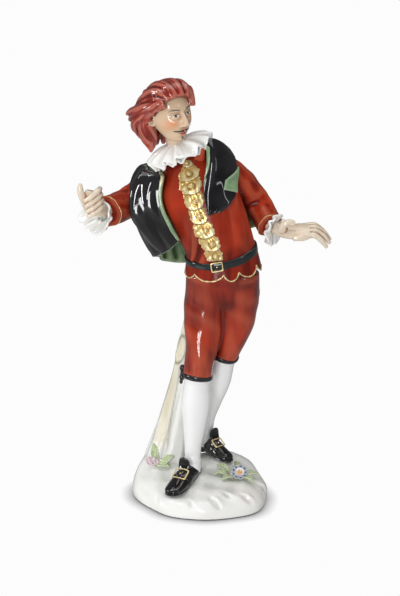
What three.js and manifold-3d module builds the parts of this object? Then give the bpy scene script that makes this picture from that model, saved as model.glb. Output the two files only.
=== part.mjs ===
// A glazed porcelain figure of a comedy player in a red suit and a short lined cloak.
// The player stands on a rocky mound with a tree stump behind the right leg, and all of
// it is one fired piece. Millimetres, +Z up, -Y towards the front. The origin is the
// centre of the mound's flat underside.
import * as THREE from "three";
import { mergeVertices } from "three/addons/utils/BufferGeometryUtils.js";
import Module from "manifold-3d";

const wasm = await Module();
wasm.setup();

// Driving sizes
const HEIGHT = 145; // underside of the mound to the crown of the hair
const DRAWN_HEIGHT = 145; // the height at which the pose tables below are drawn
const BASE_WIDTH = 47.4;
const BASE_DEPTH = 45;
const BASE_RISE = 8; // height of the mound's level top
const HEAD_HEIGHT = 17.6; // chin to crown, without the hair
const RUFF_RADIUS = 11.6;
const RUFF_THICK = 1.1;
const CUFF_RADIUS = 6.2;
const CUFF_THICK = 1.0;
const CLOAK_THICK = 1.4;
const BELT_WIDTH = 2.4;
const BELT_THICK = 0.8;
const SKIRT_FLARE = 1.1; // how far the jacket's hem stands off the breeches
const BUTTON_RADIUS = 1.0;
const BUTTON_COUNT = 8;
const BUCKLE_WIDTH = 4.4;
const BUCKLE_BAR = 0.6;
const GARTER_THICK = 0.6;
const FLOWER_RADIUS = 2.9;
const LEAF_LENGTH = 4.6;
const SHORTEST_EDGE = 0.12; // finer facets than this, left where forms cross, are drawn in

const S = HEIGHT / DRAWN_HEIGHT;
const TURN = 2 * Math.PI;
const FRONT = -TURN / 4;
const RIGHT = new THREE.Vector3(1, 0, 0);
const UP = new THREE.Vector3(0, 0, 1);

const at = (x, y, z) => new THREE.Vector3(x, y, z).multiplyScalar(S);
const clamp = (v, low, high) => Math.max(low, Math.min(high, v));
const bell = (distance, width) => Math.exp(-((distance / width) ** 2));
const ease = (v) => {
  const c = clamp(v, 0, 1);
  return c * c * (3 - 2 * c);
};

// Solids out of points

function indexed(points, faces) {
  const geometry = new THREE.BufferGeometry().setFromPoints(points);
  geometry.setIndex(faces);
  return geometry;
}

function solid(geometry) {
  const bare = geometry.clone();
  for (const name of Object.keys(bare.attributes)) {
    if (name !== "position") bare.deleteAttribute(name);
  }
  const merged = mergeVertices(bare, 1e-4);
  const mesh = new wasm.Mesh({
    numProp: 3,
    vertProperties: merged.attributes.position.array,
    triVerts: new Uint32Array(merged.index.array),
  });
  return new wasm.Manifold(mesh);
}

// Closes a stack of equal rings, given from the first end to the last, with a fan at each end.
function stack(rings, first, last) {
  const sides = rings[0].length;
  const points = [...rings.flat(), first, last];
  const faces = [];
  for (let j = 0; j < rings.length; j += 1) {
    for (let i = 0; i < sides; i += 1) {
      const next = (i + 1) % sides;
      const a = j * sides + i;
      const b = j * sides + next;
      if (j === 0) faces.push(points.length - 2, b, a);
      if (j === rings.length - 1) faces.push(points.length - 1, a, b);
      else faces.push(a, b, a + sides, b, b + sides, a + sides);
    }
  }
  return solid(indexed(points, faces));
}

// Catmull-Rom through the rows of a table, all columns at once, for t from 0 to 1.
function along(rows, t) {
  const last = rows.length - 1;
  const place = clamp(t, 0, 1) * last;
  const i = Math.min(Math.floor(place), last - 1);
  const f = place - i;
  const row = (n) => rows[clamp(n, 0, last)];
  return rows[0].map((_, c) => {
    const [p, q, r, s] = [row(i - 1)[c], row(i)[c], row(i + 1)[c], row(i + 2)[c]];
    return q + 0.5 * f * (r - p + f * (2 * p - 5 * q + 4 * r - s + f * (3 * (q - r) + s - p)));
  });
}

const evenly = (steps) => Array.from({ length: steps + 1 }, (_, j) => j / steps);
const aroundTurn = (sides) => Array.from({ length: sides }, (_, i) => (TURN * i) / sides);

// A limb or body drawn as rows of [x, y, z, half width, half depth] from one end to the
// other. point() gives a place on its skin, and solid() closes rings at the stops given,
// where swell(angle, t) scales the section, out(angle, t) adds millimetres to it, and
// slide(angle, t) moves its places along the form.
function form(rows, { side = RIGHT, swell = () => 1, out = () => 0, slide = () => 0 } = {}) {
  const small = 0.05 / rows.length;
  const frame = (t) => {
    const [x, y, z, wide, deep] = along(rows, t);
    const ahead = along(rows, t + small);
    const behind = along(rows, t - small);
    const run = new THREE.Vector3(...[0, 1, 2].map((c) => ahead[c] - behind[c])).normalize();
    const across = side.clone().addScaledVector(run, -side.dot(run)).normalize();
    const back = run.clone().cross(across);
    return { centre: at(x, y, z), wide: wide * S, deep: deep * S, run, across, back };
  };
  const point = (t, angle, lift = 0) => {
    const f = frame(t);
    const grow = swell(angle, t);
    return f.centre
      .clone()
      .addScaledVector(f.across, (f.wide * grow + lift) * Math.cos(angle))
      .addScaledVector(f.back, (f.deep * grow + lift) * Math.sin(angle));
  };
  const make = (sides, stops) => {
    const list = Array.isArray(stops) ? stops : evenly(stops);
    const rings = list.map((t) =>
      aroundTurn(sides).map((angle) => point(t + slide(angle, t), angle, out(angle, t))),
    );
    return stack(rings, frame(list[0]).centre, frame(list[list.length - 1]).centre);
  };
  return { frame, point, solid: make };
}

// A sheet of even thickness over surface(u, v).
function sheet(surface, { columns, rows, thick }) {
  const small = 1e-3;
  const faces = [];
  const front = [];
  const rear = [];
  const count = columns + 1;
  for (let j = 0; j <= rows; j += 1) {
    for (let i = 0; i < count; i += 1) {
      const u = i / columns;
      const v = j / rows;
      const alongU = surface(u + small, v).sub(surface(u - small, v));
      const alongV = surface(u, v + small).sub(surface(u, v - small));
      const normal = alongU.cross(alongV).normalize();
      const middle = surface(u, v);
      front.push(middle.clone().addScaledVector(normal, thick / 2));
      rear.push(middle.clone().addScaledVector(normal, -thick / 2));
    }
  }
  const back = front.length;
  const quad = (a, b, c, d) => faces.push(a, b, c, a, c, d);
  for (let j = 0; j < rows; j += 1) {
    for (let i = 0; i < columns; i += 1) {
      const a = j * count + i;
      const [b, c, d] = [a + 1, a + count + 1, a + count];
      quad(a, b, c, d);
      quad(back + a, back + d, back + c, back + b);
      if (j === 0) quad(a, back + a, back + b, b);
      if (j === rows - 1) quad(d, c, back + c, back + d);
      if (i === 0) quad(a, d, back + d, back + a);
      if (i === columns - 1) quad(b, back + b, back + c, c);
    }
  }
  return solid(indexed([...front, ...rear], faces));
}

function placed(geometry, half, centre, turned = new THREE.Quaternion()) {
  geometry.scale(half[0], half[1], half[2]);
  geometry.applyQuaternion(turned);
  geometry.translate(centre.x, centre.y, centre.z);
  return solid(geometry);
}

// An ellipsoid, and a pointed lozenge, with half sizes along x, y and z of their own frame.
function ball(centre, half, turned, wide = 8, high = 6) {
  return placed(new THREE.SphereGeometry(1, wide, high).rotateX(TURN / 4), half, centre, turned);
}
const lozenge = (centre, half, turned) => placed(new THREE.OctahedronGeometry(1), half, centre, turned);

// The turn that takes +Z to up and +X as near as it can to right.
function facing(up, right = RIGHT) {
  const z = up.clone().normalize();
  const x = right.clone().addScaledVector(z, -right.dot(z)).normalize();
  const y = z.clone().cross(x);
  return new THREE.Quaternion().setFromRotationMatrix(new THREE.Matrix4().makeBasis(x, y, z));
}

// The mound: an oval of rock, level on top, that climbs to the stump and the far foot.

function moundTop(x, y) {
  const stump = 7.5 * bell(Math.hypot(x + 13 * S, y - 8 * S), 9 * S);
  const farFoot = 3.2 * bell(Math.hypot(x - 6 * S, y - 8 * S), 9 * S);
  const nearHeel = 1.2 * bell(Math.hypot(x, y + 6 * S), 7 * S);
  const toeSlope = -1.6 * bell(Math.hypot(x + 7 * S, y + 18 * S), 8 * S);
  return BASE_RISE + (stump + farFoot + nearHeel + toeSlope) * S;
}

function mound() {
  const profile = [[0.955, 0], [1, 0.2], [0.985, 0.52], [0.9, 0.85], [0.7, 1], [0.35, 1]];
  const rings = profile.map(([reach, rise]) =>
    aroundTurn(36).map((angle) => {
      const oval = 1 + 0.03 * Math.cos(angle + 0.7) + 0.025 * Math.cos(2 * angle + 1.6);
      const outline = oval + 0.012 * Math.sin(5 * angle);
      const midway = Math.sin((TURN / 2) * clamp(rise, 0.08, 1));
      const flutes = 0.03 * Math.sin(9 * angle + 1.2 + 2 * rise) * midway;
      const grow = reach * (outline + flutes);
      const x = (BASE_WIDTH / 2) * grow * Math.cos(angle);
      const y = (BASE_DEPTH / 2) * grow * Math.sin(angle);
      return new THREE.Vector3(x, y, rise * moundTop(x, y));
    }),
  );
  return stack(rings, new THREE.Vector3(0, 0, 0), new THREE.Vector3(0, 0, moundTop(0, 0)));
}

// The stump: a bare trunk with bark ridges and a knot, leaning up to the back of the thigh.

function stump() {
  const trunk = form(
    [
      [-11.2, 7, 8, 8.0, 8.0],
      [-9.6, 7.6, 17, 6.9, 6.4],
      [-7.5, 7.8, 28, 5.4, 5.2],
      [-4.9, 7.4, 40, 4.5, 4.6],
      [-2.8, 6.6, 52, 3.9, 4.0],
      [-0.4, 5.4, 65, 3.4, 3.4],
    ],
    { swell: (angle, t) => 1 + 0.08 * Math.sin(5 * angle + 2 * t) },
  );
  const knotTurn = facing(new THREE.Vector3(-0.15, 0, 1), new THREE.Vector3(0.6, -0.8, 0));
  const knot = ball(trunk.point(0.76, -TURN * 0.36), [1.6 * S, 0.9 * S, 2.6 * S], knotTurn, 7, 4);
  return [trunk.solid(12, 5), knot];
}

// The legs: knee breeches that end in a garter band, stockings and buckled shoes.

const LEGS = {
  near: {
    rows: [
      [3.2, -0.4, 79, 7.2, 8.6],
      [2.2, -1.0, 70, 6.7, 7.9],
      [1.6, -2.2, 61, 6.3, 6.9],
      [0.7, -3.5, 52, 4.9, 5.5],
      [-0.4, -4.4, 43, 4.4, 4.8],
      [-0.9, -4.0, 35, 5.0, 5.4],
      [-1.3, -4.4, 27, 4.0, 4.3],
      [-1.9, -5.2, 19, 2.9, 3.2],
      [-1.9, -5.8, 11, 2.8, 3.2],
    ],
    garter: 0.473,
    bow: Math.PI * 1.02,
    heel: [-1.2, -4.6, 9.4],
    toe: [-9.3, -17.6, 6.9],
  },
  far: {
    rows: [
      [12.6, 0.2, 79, 7.6, 8.4],
      [13.2, 0.4, 71.5, 7.1, 7.8],
      [12.6, 1.2, 64, 6.6, 7.0],
      [10.7, 2.5, 56, 5.4, 5.8],
      [8.4, 4.2, 48, 4.3, 4.7],
      [6.6, 5.8, 40, 4.5, 5.0],
      [4.4, 7.4, 32, 3.7, 4.1],
      [2.9, 8.9, 24, 2.6, 3.0],
      [2.6, 9.6, 15, 2.6, 3.0],
    ],
    garter: 0.474,
    bow: null,
    heel: [1.4, 11.4, 13.0],
    toe: [10.7, 1.0, 10.6],
  },
};

function buckle(centre, up, right) {
  const half = BUCKLE_WIDTH / 2;
  const tall = 0.8;
  const box = (reach) =>
    [[-1, -1], [1, -1], [1, 1], [-1, 1]].map(([x, y]) => new THREE.Vector2(x * reach, y * reach * tall));
  const outline = new THREE.Shape(box(half));
  outline.holes.push(new THREE.Path(box(half - BUCKLE_BAR)));
  const geometry = new THREE.ExtrudeGeometry(outline, { depth: BUCKLE_BAR * 2.4, bevelEnabled: false });
  geometry.translate(0, 0, -BUCKLE_BAR * 1.6);
  return placed(geometry, [1, 1, 1], centre, facing(up, right));
}

function shoe(heel, toe) {
  const step = new THREE.Vector3(toe[0] - heel[0], toe[1] - heel[1], 0);
  const ahead = step.clone().normalize();
  const side = ahead.clone().cross(UP);
  const row = (share, rise, wide, high) => {
    const z = heel[2] + (toe[2] - heel[2]) * share + rise;
    return [heel[0] + step.x * share, heel[1] + step.y * share, z, wide, high];
  };
  const upper = form(
    [
      row(-0.1, 1.3, 1.9, 1.9), row(0.12, 2.0, 2.7, 2.8), row(0.34, 2.1, 2.8, 3.1),
      row(0.58, 1.5, 2.9, 2.5), row(0.8, 1.0, 2.8, 1.8), row(1.0, 0.8, 1.6, 1.0),
    ],
    { side },
  );
  const lean = ahead.clone().multiplyScalar(0.62).addScaledVector(UP, 0.8);
  const tongueTurn = facing(UP.clone().addScaledVector(ahead, -0.35), side);
  const tonguePlace = upper.point(0.36, FRONT, 0.8 * S).addScaledVector(ahead, 0.4 * S);
  return [
    upper.solid(10, 6),
    ball(tonguePlace, [2.3 * S, 0.8 * S, 3.1 * S], tongueTurn, 6, 4),
    buckle(upper.point(0.6, FRONT, 0.35 * S), lean, side),
  ];
}

function leg({ rows, garter, bow, heel, toe }) {
  const half = 0.011;
  const isBreeches = (t) => t < garter;
  const whole = form(rows, {
    swell: (angle, t) => (isBreeches(t) ? 1.03 + 0.025 * Math.sin(3 * angle + 30 * t) : 1),
    out: (angle, t) => (Math.abs(t - garter) < half * 1.1 ? GARTER_THICK : 0),
  });
  const stops = [
    0, 0.12, 0.24, 0.35, 0.44, garter - 1.2 * half, garter - half, garter + half, garter + 1.2 * half,
    0.54, 0.63, 0.72, 0.84, 1,
  ];
  const made = [whole.solid(12, stops), ...shoe(heel, toe)];
  if (bow !== null) {
    for (const [shift, size] of [[-0.016, 1.4], [0.02, 1.4]]) {
      const loop = [size * S, size * S, 1.1 * S];
      made.push(ball(whole.point(garter + shift, bow, 0.6 * S), loop, undefined, 6, 3));
    }
  }
  return made;
}

// The jacket: a fitted body with a belt and a short scalloped skirt. It leans to the player's right.

const TORSO_ROWS = [
  [8.0, -0.2, 72, 11.2, 8.6],
  [8.2, -0.6, 79, 11.7, 9.4],
  [7.7, -1.0, 85, 11.6, 9.2],
  [6.4, -1.4, 91, 11.7, 9.4],
  [3.7, -1.6, 98, 12.1, 9.6],
  [0.8, -1.3, 105, 12.9, 9.3],
  [-2.0, -0.8, 112, 12.6, 8.0],
  [-4.2, -0.8, 117, 8.2, 5.6],
  [-5.4, -1.2, 119.5, 4.2, 4.2],
];
const TORSO = form(TORSO_ROWS);
const TORSO_SIDES = 24;
const BELT_AT = 0.25;
const HEM_AT = 0.112;

function jacket() {
  const length = TORSO.frame(0).centre.distanceTo(TORSO.frame(1).centre);
  const half = BELT_WIDTH / length / 2;
  const edge = 0.004;
  const skirt = (t) => t > HEM_AT - edge && t < BELT_AT - half;
  const dressed = form(TORSO_ROWS, {
    out: (angle, t) => {
      if (skirt(t)) return 0.3 * S + SKIRT_FLARE * ((BELT_AT - t) / (BELT_AT - HEM_AT));
      return Math.abs(t - BELT_AT) <= half * 1.01 ? BELT_THICK : 0;
    },
    slide: (angle, t) => {
      const lobe = Math.abs(Math.cos((TORSO_SIDES / 4) * angle));
      return t > 0.05 && t <= HEM_AT ? 0.02 * (1 - lobe) : 0;
    },
  });
  const stops = [
    0, HEM_AT - 2 * edge, HEM_AT - edge / 2, HEM_AT + 0.03, BELT_AT - half - 2 * edge,
    BELT_AT - half, BELT_AT + half, BELT_AT + half + edge,
    0.37, 0.5, 0.63, 0.76, 0.87, 1,
  ];
  const clasp = TORSO.point(BELT_AT, FRONT, BELT_THICK * 1.2);
  const right = new THREE.Vector3(0.97, 0, 0.24);
  return [dressed.solid(TORSO_SIDES, stops), buckle(clasp, new THREE.Vector3(0, -1, 0), right)];
}

// The gilt front: a strip with a lobe and a button at each of its fastenings. The share
// runs from the top button to the bottom one.
function frontLine(share) {
  return { t: 0.905 - 0.595 * share, angle: FRONT + 0.09 - 0.14 * share };
}

function placket() {
  const gaps = BUTTON_COUNT - 1;
  const strip = sheet(
    (u, v) => {
      const share = 1 - v;
      const { t, angle } = frontLine(share);
      const lobes = 0.7 + 0.3 * Math.abs(Math.cos((TURN / 2) * gaps * share));
      const half = (0.15 + 0.16 * Math.sin((TURN / 2) * clamp(v * 0.8 + 0.14, 0, 1))) * lobes;
      return TORSO.point(t, angle + half * (2 * u - 1), 0.15 * S);
    },
    { columns: 2, rows: gaps * 2, thick: 1.0 * S },
  );
  const buttons = evenly(gaps).map((share) => {
    const { t, angle } = frontLine(share);
    const half = [BUTTON_RADIUS, BUTTON_RADIUS, BUTTON_RADIUS];
    return ball(TORSO.point(t, angle, 0.8 * S), half, undefined, 6, 3);
  });
  return [strip, ...buttons];
}

// A pleated frill round centre, open towards up: it runs out to radius, falls by drop on
// the way, and is as thick as told at its waved rim.
function frill({ centre, up, radius, pleats, thick, depth, drop, sag = 0 }) {
  const turn = facing(up);
  const ring = (share, lift) =>
    aroundTurn(pleats * 2).map((angle, i) => {
      const swing = i % 2 === 0 ? 1 : -1;
      const reach = radius * share * (1 + 0.03 * share * swing);
      const rise = lift - drop * share * share + depth * share * swing;
      const place = new THREE.Vector3(reach * Math.cos(angle), reach * Math.sin(angle), rise);
      place.applyQuaternion(turn).add(centre);
      return place.setZ(place.z - sag * share);
    });
  const rings = [ring(0.3, -thick / 2), ring(1, -thick / 2), ring(1, thick / 2), ring(0.3, thick / 2)];
  const [under, over] = [-thick / 2, thick / 2].map((rise) => centre.clone().addScaledVector(up, rise));
  return stack(rings, under, over);
}

// The arms: wide sleeves and bare hands. The right hand beckons, with its fingers folded
// over the palm and the thumb up. The left lies open, palm up, with the fingertips falling.

const finger = (rows) => form(rows).solid(5, 3);

const ARMS = {
  right: {
    sleeve: [
      [-10.5, 0.6, 112.5, 5.4, 5.6],
      [-15.5, 2.0, 108.5, 5.3, 5.6],
      [-20.4, 3.0, 104.4, 5.1, 5.2],
      [-24.2, 0.6, 102.4, 5.1, 5.0],
      [-27.2, -3.4, 101.6, 5.2, 5.0],
      [-29.8, -7.2, 101.4, 5.3, 5.0],
    ],
    palm: [
      [-28.4, -5.4, 101.8, 2.2, 2.2],
      [-32.2, -10.4, 102.4, 1.9, 2.1],
      [-34.2, -13.0, 104.2, 2.6, 2.3],
      [-34.4, -13.6, 107.0, 3.0, 2.2],
      [-33.8, -13.6, 109.6, 2.4, 1.6],
    ],
    palmSide: RIGHT,
    fingers: [0, 1, 2, 3].map((n) => [
      [-31.6 + 0.25 * n, -13.0, 110.4 - 1.8 * n, 0.85, 0.85],
      [-32.4 + 0.25 * n, -15.6, 109.9 - 1.8 * n, 0.9, 0.9],
      [-34.6 + 0.25 * n, -16.6, 108.1 - 1.8 * n, 0.85, 0.85],
      [-36.6 + 0.25 * n, -15.8, 106.7 - 1.8 * n, 0.6, 0.6],
    ]),
    thumb: [
      [-35.6, -13.6, 105.2, 1.5, 1.4],
      [-37.4, -15.0, 108.2, 1.15, 1.1],
      [-37.9, -15.4, 110.8, 1.0, 0.95],
      [-37.7, -15.2, 112.4, 0.5, 0.5],
    ],
    droop: 2.6,
  },
  left: {
    sleeve: [
      [8.0, 1.2, 114.5, 5.4, 5.2],
      [13.4, 4.0, 109.4, 5.1, 5.0],
      [18.4, 6.4, 103.4, 4.8, 4.8],
      [21.4, 4.6, 98.6, 4.5, 4.5],
      [23.9, -0.6, 95.2, 4.3, 4.3],
    ],
    palm: [
      [22.4, 1.2, 96.2, 2.0, 2.0],
      [26.6, -3.0, 94.2, 2.0, 1.8],
      [30.0, -4.6, 94.0, 3.0, 1.5],
      [33.4, -5.2, 94.2, 3.5, 1.35],
      [36.5, -5.4, 94.5, 3.2, 1.05],
    ],
    palmSide: new THREE.Vector3(0.12, -1, 0.1),
    fingers: [0, 1, 2, 3].map((n) => {
      const y = 1.8 * n - 8.1;
      const reach = [-0.9, 0.4, 0.5, -0.6][n];
      const low = [-0.7, -0.1, 0, -0.4][n];
      return [
        [34.6, y, 94.5, 0.88, 1.0],
        [38.2 + reach * 0.4, y, 94.9 + low, 0.85, 0.9],
        [41.0 + reach * 0.8, y, 93.4 + low, 0.8, 0.8],
        [43.2 + reach, y + 0.1, 90.9 + low, 0.5, 0.5],
      ];
    }),
    thumb: [
      [28.8, -6.0, 94.6, 1.3, 1.2],
      [28.6, -7.0, 97.0, 1.15, 1.1],
      [30.2, -7.4, 98.6, 1.05, 1.0],
      [31.2, -7.4, 97.2, 0.6, 0.6],
    ],
    droop: 1.4,
  },
};

function arm({ sleeve, palm, palmSide, fingers, thumb, droop }) {
  const cloth = form(sleeve, { swell: (angle, t) => 1 + 0.04 * Math.sin(3 * angle + 9 * t) });
  const end = cloth.frame(1);
  const lace = frill({
    centre: end.centre.clone().addScaledVector(end.run, 0.3 * S), up: end.run, radius: CUFF_RADIUS,
    pleats: 9, thick: CUFF_THICK, depth: 0.7 * S, drop: -1.6 * S, sag: droop * S,
  });
  return [
    cloth.solid(12, 6),
    lace,
    form(palm, { side: palmSide }).solid(7, 5),
    ...fingers.map(finger),
    finger(thumb),
  ];
}

// The neck and the ruff, which tips down towards the right shoulder.

const RUFF_UP = new THREE.Vector3(-0.39, -0.16, 0.91).normalize();
const RUFF_CENTRE = at(-6.5, -2.3, 122.7);

function collar() {
  const lace = frill({
    centre: RUFF_CENTRE, up: RUFF_UP, radius: RUFF_RADIUS, pleats: 13,
    thick: RUFF_THICK, depth: 1.0 * S, drop: 2.9 * S,
  });
  const neck = form([
    [-4.8, -1.0, 117, 4.2, 4.2], [-6.8, -2.2, 123, 3.6, 3.8], [-7.8, -2.4, 127.5, 3.4, 3.8],
  ]);
  return [lace, neck.solid(8, 2)];
}

// The head. Its own frame has x to the player's right, y ahead and z up, in shares of the
// head's height from chin to crown. The face is a plain calm one in the usual proportions:
// eyes half way up, and brow, nose and chin at even thirds of the face.

const HEAD_CENTRE = at(-8.5, -3.9, 134.1);
const HEAD_TURN = (() => {
  const ahead = new THREE.Vector3(0.66, -0.75, 0.05).normalize();
  const tilt = new THREE.Vector3(-0.3, -0.02, 0.95);
  const up = tilt.addScaledVector(ahead, -tilt.dot(ahead)).normalize();
  return new THREE.Quaternion().setFromRotationMatrix(
    new THREE.Matrix4().makeBasis(ahead.clone().cross(up), ahead, up),
  );
})();

const headPlace = (x, y, z) =>
  new THREE.Vector3(x, y, z).multiplyScalar(HEAD_HEIGHT).applyQuaternion(HEAD_TURN).add(HEAD_CENTRE);
const headHalf = (...shares) => shares.map((share) => share * HEAD_HEIGHT);

// How far the face stands out ahead of a plain oval, at x across and z up.
function relief(x, z) {
  const wide = Math.abs(x);
  const nose = 0.13 * bell(wide, 0.06) * ease((0.1 - z) / 0.3) * ease((z + 0.24) / 0.05);
  const nostrils = 0.04 * bell(wide - 0.04, 0.035) * bell(z + 0.185, 0.035);
  const brow = 0.022 * bell(z - 0.085, 0.04) * bell(wide - 0.1, 0.12);
  const sockets = -0.045 * bell(z - 0.01, 0.06) * bell(wide - 0.125, 0.07);
  const cheeks = 0.025 * bell(z + 0.14, 0.09) * bell(wide - 0.17, 0.09);
  const lips = 0.036 * bell(z + 0.315, 0.035) * bell(wide, 0.08);
  const chin = 0.05 * bell(z + 0.455, 0.06) * bell(wide, 0.09);
  return nose + nostrils + brow + sockets + cheeks + lips + chin;
}

function head() {
  const high = 14;
  const rings = evenly(high).slice(1, high).map((share) => {
    const polar = (TURN / 2) * (1 - share);
    return aroundTurn(18).map((step) => {
      const angle = step + 0.45 * Math.cos(step);
      const [dx, dy] = [Math.cos(angle) * Math.sin(polar), Math.sin(angle) * Math.sin(polar)];
      const dz = Math.cos(polar);
      const low = ease(-dz);
      const x = dx * 0.345 * (1 - 0.26 * low);
      const z = dz * 0.5;
      const y = dy * (dy > 0 ? 0.4 - 0.04 * low : 0.42 - 0.2 * low) + 0.05 * low;
      return headPlace(x, y + (dy > 0 ? relief(x, z) * ease(dy * 2.2) : 0), z);
    });
  });
  const skull = stack(rings, headPlace(0, 0.05, -0.5), headPlace(0, 0, 0.5));
  const ears = [-1, 1].map((hand) =>
    ball(headPlace(hand * 0.345, -0.03, -0.04), headHalf(0.06, 0.09, 0.13), HEAD_TURN, 5, 3),
  );
  return [skull, ...ears];
}

// The hair: a cap of combed waves, and long locks thrown back over the right shoulder.
// Each lock is drawn in the head's frame, with its half width and half depth.

const LOCKS = [
  [[0.1, 0.34, 0.34, 0.08, 0.07], [0.36, 0.1, 0.24, 0.13, 0.11], [0.44, -0.2, 0.14, 0.17, 0.14],
    [0.48, -0.5, 0.04, 0.14, 0.12], [0.5, -0.76, -0.12, 0.04, 0.04]],
  [[0.16, 0.2, 0.46, 0.08, 0.07], [0.28, -0.1, 0.44, 0.15, 0.12], [0.32, -0.42, 0.32, 0.14, 0.12],
    [0.32, -0.7, 0.14, 0.05, 0.05]],
  [[0.36, -0.06, 0.06, 0.08, 0.07], [0.44, -0.3, -0.1, 0.14, 0.12], [0.46, -0.42, -0.34, 0.15, 0.12],
    [0.4, -0.38, -0.6, 0.13, 0.1], [0.34, -0.28, -0.82, 0.04, 0.04]],
  [[0.32, -0.4, 0.0, 0.1, 0.1], [0.46, -0.6, -0.14, 0.13, 0.11], [0.52, -0.76, -0.34, 0.04, 0.04]],
  [[-0.28, 0.22, 0.26, 0.06, 0.06], [-0.36, -0.04, 0.1, 0.1, 0.08], [-0.36, -0.3, -0.1, 0.13, 0.1],
    [-0.3, -0.4, -0.42, 0.08, 0.07]],
  [[-0.05, -0.3, 0.3, 0.2, 0.16], [0, -0.44, 0.0, 0.3, 0.17], [0.05, -0.42, -0.34, 0.26, 0.15],
    [0.1, -0.36, -0.66, 0.12, 0.1]],
  [[0.0, 0.3, 0.36, 0.07, 0.06], [0.04, 0.08, 0.52, 0.13, 0.09], [0.06, -0.26, 0.55, 0.14, 0.1],
    [0.06, -0.54, 0.36, 0.1, 0.08]],
  [[-0.14, 0.28, 0.34, 0.06, 0.06], [-0.22, 0.06, 0.44, 0.12, 0.09], [-0.26, -0.26, 0.44, 0.13, 0.1],
    [-0.24, -0.52, 0.24, 0.09, 0.08]],
];

function hair() {
  const skin = new THREE.SphereGeometry(1, 16, 9).rotateX(TURN / 4);
  const place = skin.attributes.position;
  for (let i = 0; i < place.count; i += 1) {
    const wave = 1 + 0.05 * Math.sin(18 * place.getX(i) + 3 * place.getY(i)) * bell(place.getX(i), 0.8);
    place.setXYZ(i, place.getX(i) * wave, place.getY(i) * wave, place.getZ(i) * wave);
  }
  const cap = placed(skin, headHalf(0.4, 0.45, 0.41), headPlace(0, -0.11, 0.15), HEAD_TURN);
  const locks = LOCKS.map((rows) =>
    form(rows.map(([x, y, z, wide, deep]) => {
      const middle = headPlace(x, y, z).divideScalar(S);
      return [middle.x, middle.y, middle.z, (wide * HEAD_HEIGHT) / S, (deep * HEAD_HEIGHT) / S];
    })).solid(6, 4),
  );
  return [cap, ...locks];
}

// The cloak: a short mantle over both shoulders. It opens on the breast, hangs over the
// right arm to the hip and falls down the back, and its left front is folded up short.

const MANTLE = form([
  [-4.8, -0.6, 119.8, 5.0, 4.4],
  [-3.6, 0.4, 117.2, 11.8, 7.4],
  [-3.4, 0.8, 113.6, 15.8, 9.8],
  [-4.4, 1.4, 107.0, 18.7, 11.4],
  [-3.0, 2.0, 100.0, 18.6, 12.0],
  [0.2, 2.4, 92.0, 18.0, 12.0],
  [2.0, 2.6, 84.0, 16.6, 12.2],
], { side: RIGHT });

function mantle() {
  const begins = [[0.41], [0.39], [0.37], [0.335], [0.32], [0.31], [0.305]];
  const ends = [[1.08], [1.07], [1.05], [0.98], [0.95], [0.945], [0.94]];
  const ceiling = 0.66;
  // One ring of the cloth, shut inside the body. An inner one stays a wall's thickness in.
  const ring = (v, wall) => {
    const { centre, wide, deep } = MANTLE.frame(v * 0.85);
    const from = along(begins, v)[0] + wall / (TURN * wide);
    const to = along(ends, v)[0] - wall / (TURN * wide);
    const cloth = evenly(20).map((u) => {
      const reach = 0.8 + 0.15 * ease(u / 0.2) + 0.05 * ease((u - 0.3) / 0.2) - 0.1 * ease((u - 0.7) / 0.3);
      const fold = 0.75 * ease(v * 1.4) * Math.sin(TURN * 5 * u + 0.5);
      return MANTLE.point(v * reach, TURN * (from + (to - from) * u), fold * S - wall);
    });
    const tucked = [0.2, 0.8].map((u) => {
      const angle = TURN * (to + (from + 1 - to) * u);
      const inward = new THREE.Vector3(0.4 * wide * Math.cos(angle), 0.3 * deep * Math.sin(angle), 0);
      return centre.clone().add(inward).add(new THREE.Vector3(0, 2 * wall, 0));
    });
    return [...cloth, ...tucked];
  };
  const rings = [0, 0.13, 0.3, 0.5, 0.75, 1].map((v) => ring(v, 0));
  rings.push(ring(0.995, CLOAK_THICK), ring(ceiling, CLOAK_THICK));
  return stack(rings, MANTLE.frame(0).centre, MANTLE.frame(ceiling).centre);
}

// The cloak's left front, folded up on the breast to a point beside the buttons.
function mantleLeft() {
  const side = new THREE.Vector3(0.86, 0.5, 0.1);
  return form([
    [3.6, -3.2, 123.4, 3.4, 2.4], [7.2, -5.4, 118.2, 6.2, 2.4], [8.4, -7.0, 112.4, 6.0, 2.2],
    [8.2, -8.6, 107.4, 5.2, 1.8], [5.8, -10.6, 103.6, 3.0, 1.2], [3.8, -11.6, 101.6, 0.8, 0.6],
  ], { side }).solid(10, 6);
}

// Two sprigs laid on the mound, each a bloom among pointed leaves.

const onMound = (x, y, lift) => new THREE.Vector3(x * S, y * S, moundTop(x * S, y * S) + lift);

function bloom(x, y, petals) {
  const profile = [[0.5, -0.2], [1, 0.15], [0.62, 0.42], [0.3, 0.34], [0.26, 0.6]];
  const rings = profile.map(([reach, rise]) =>
    aroundTurn(petals * 2).map((angle, i) => {
      const lobe = i % 2 === 0 || reach < 0.5 ? 1 : 0.72;
      const out = new THREE.Vector3(Math.cos(angle), Math.sin(angle), 0);
      return onMound(x, y, rise * FLOWER_RADIUS).addScaledVector(out, reach * lobe * FLOWER_RADIUS);
    }),
  );
  return stack(rings, onMound(x, y, -0.2 * FLOWER_RADIUS), onMound(x, y, 0.68 * FLOWER_RADIUS));
}

function leaf(x, y, step) {
  const out = new THREE.Vector3(Math.cos(TURN * step), Math.sin(TURN * step), 0.16);
  const half = [0.28, 0.16, 0.5].map((share) => share * LEAF_LENGTH);
  return lozenge(onMound(x, y, 0.05 * LEAF_LENGTH), half, facing(out, new THREE.Vector3(-out.y, out.x, 0)));
}

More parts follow.
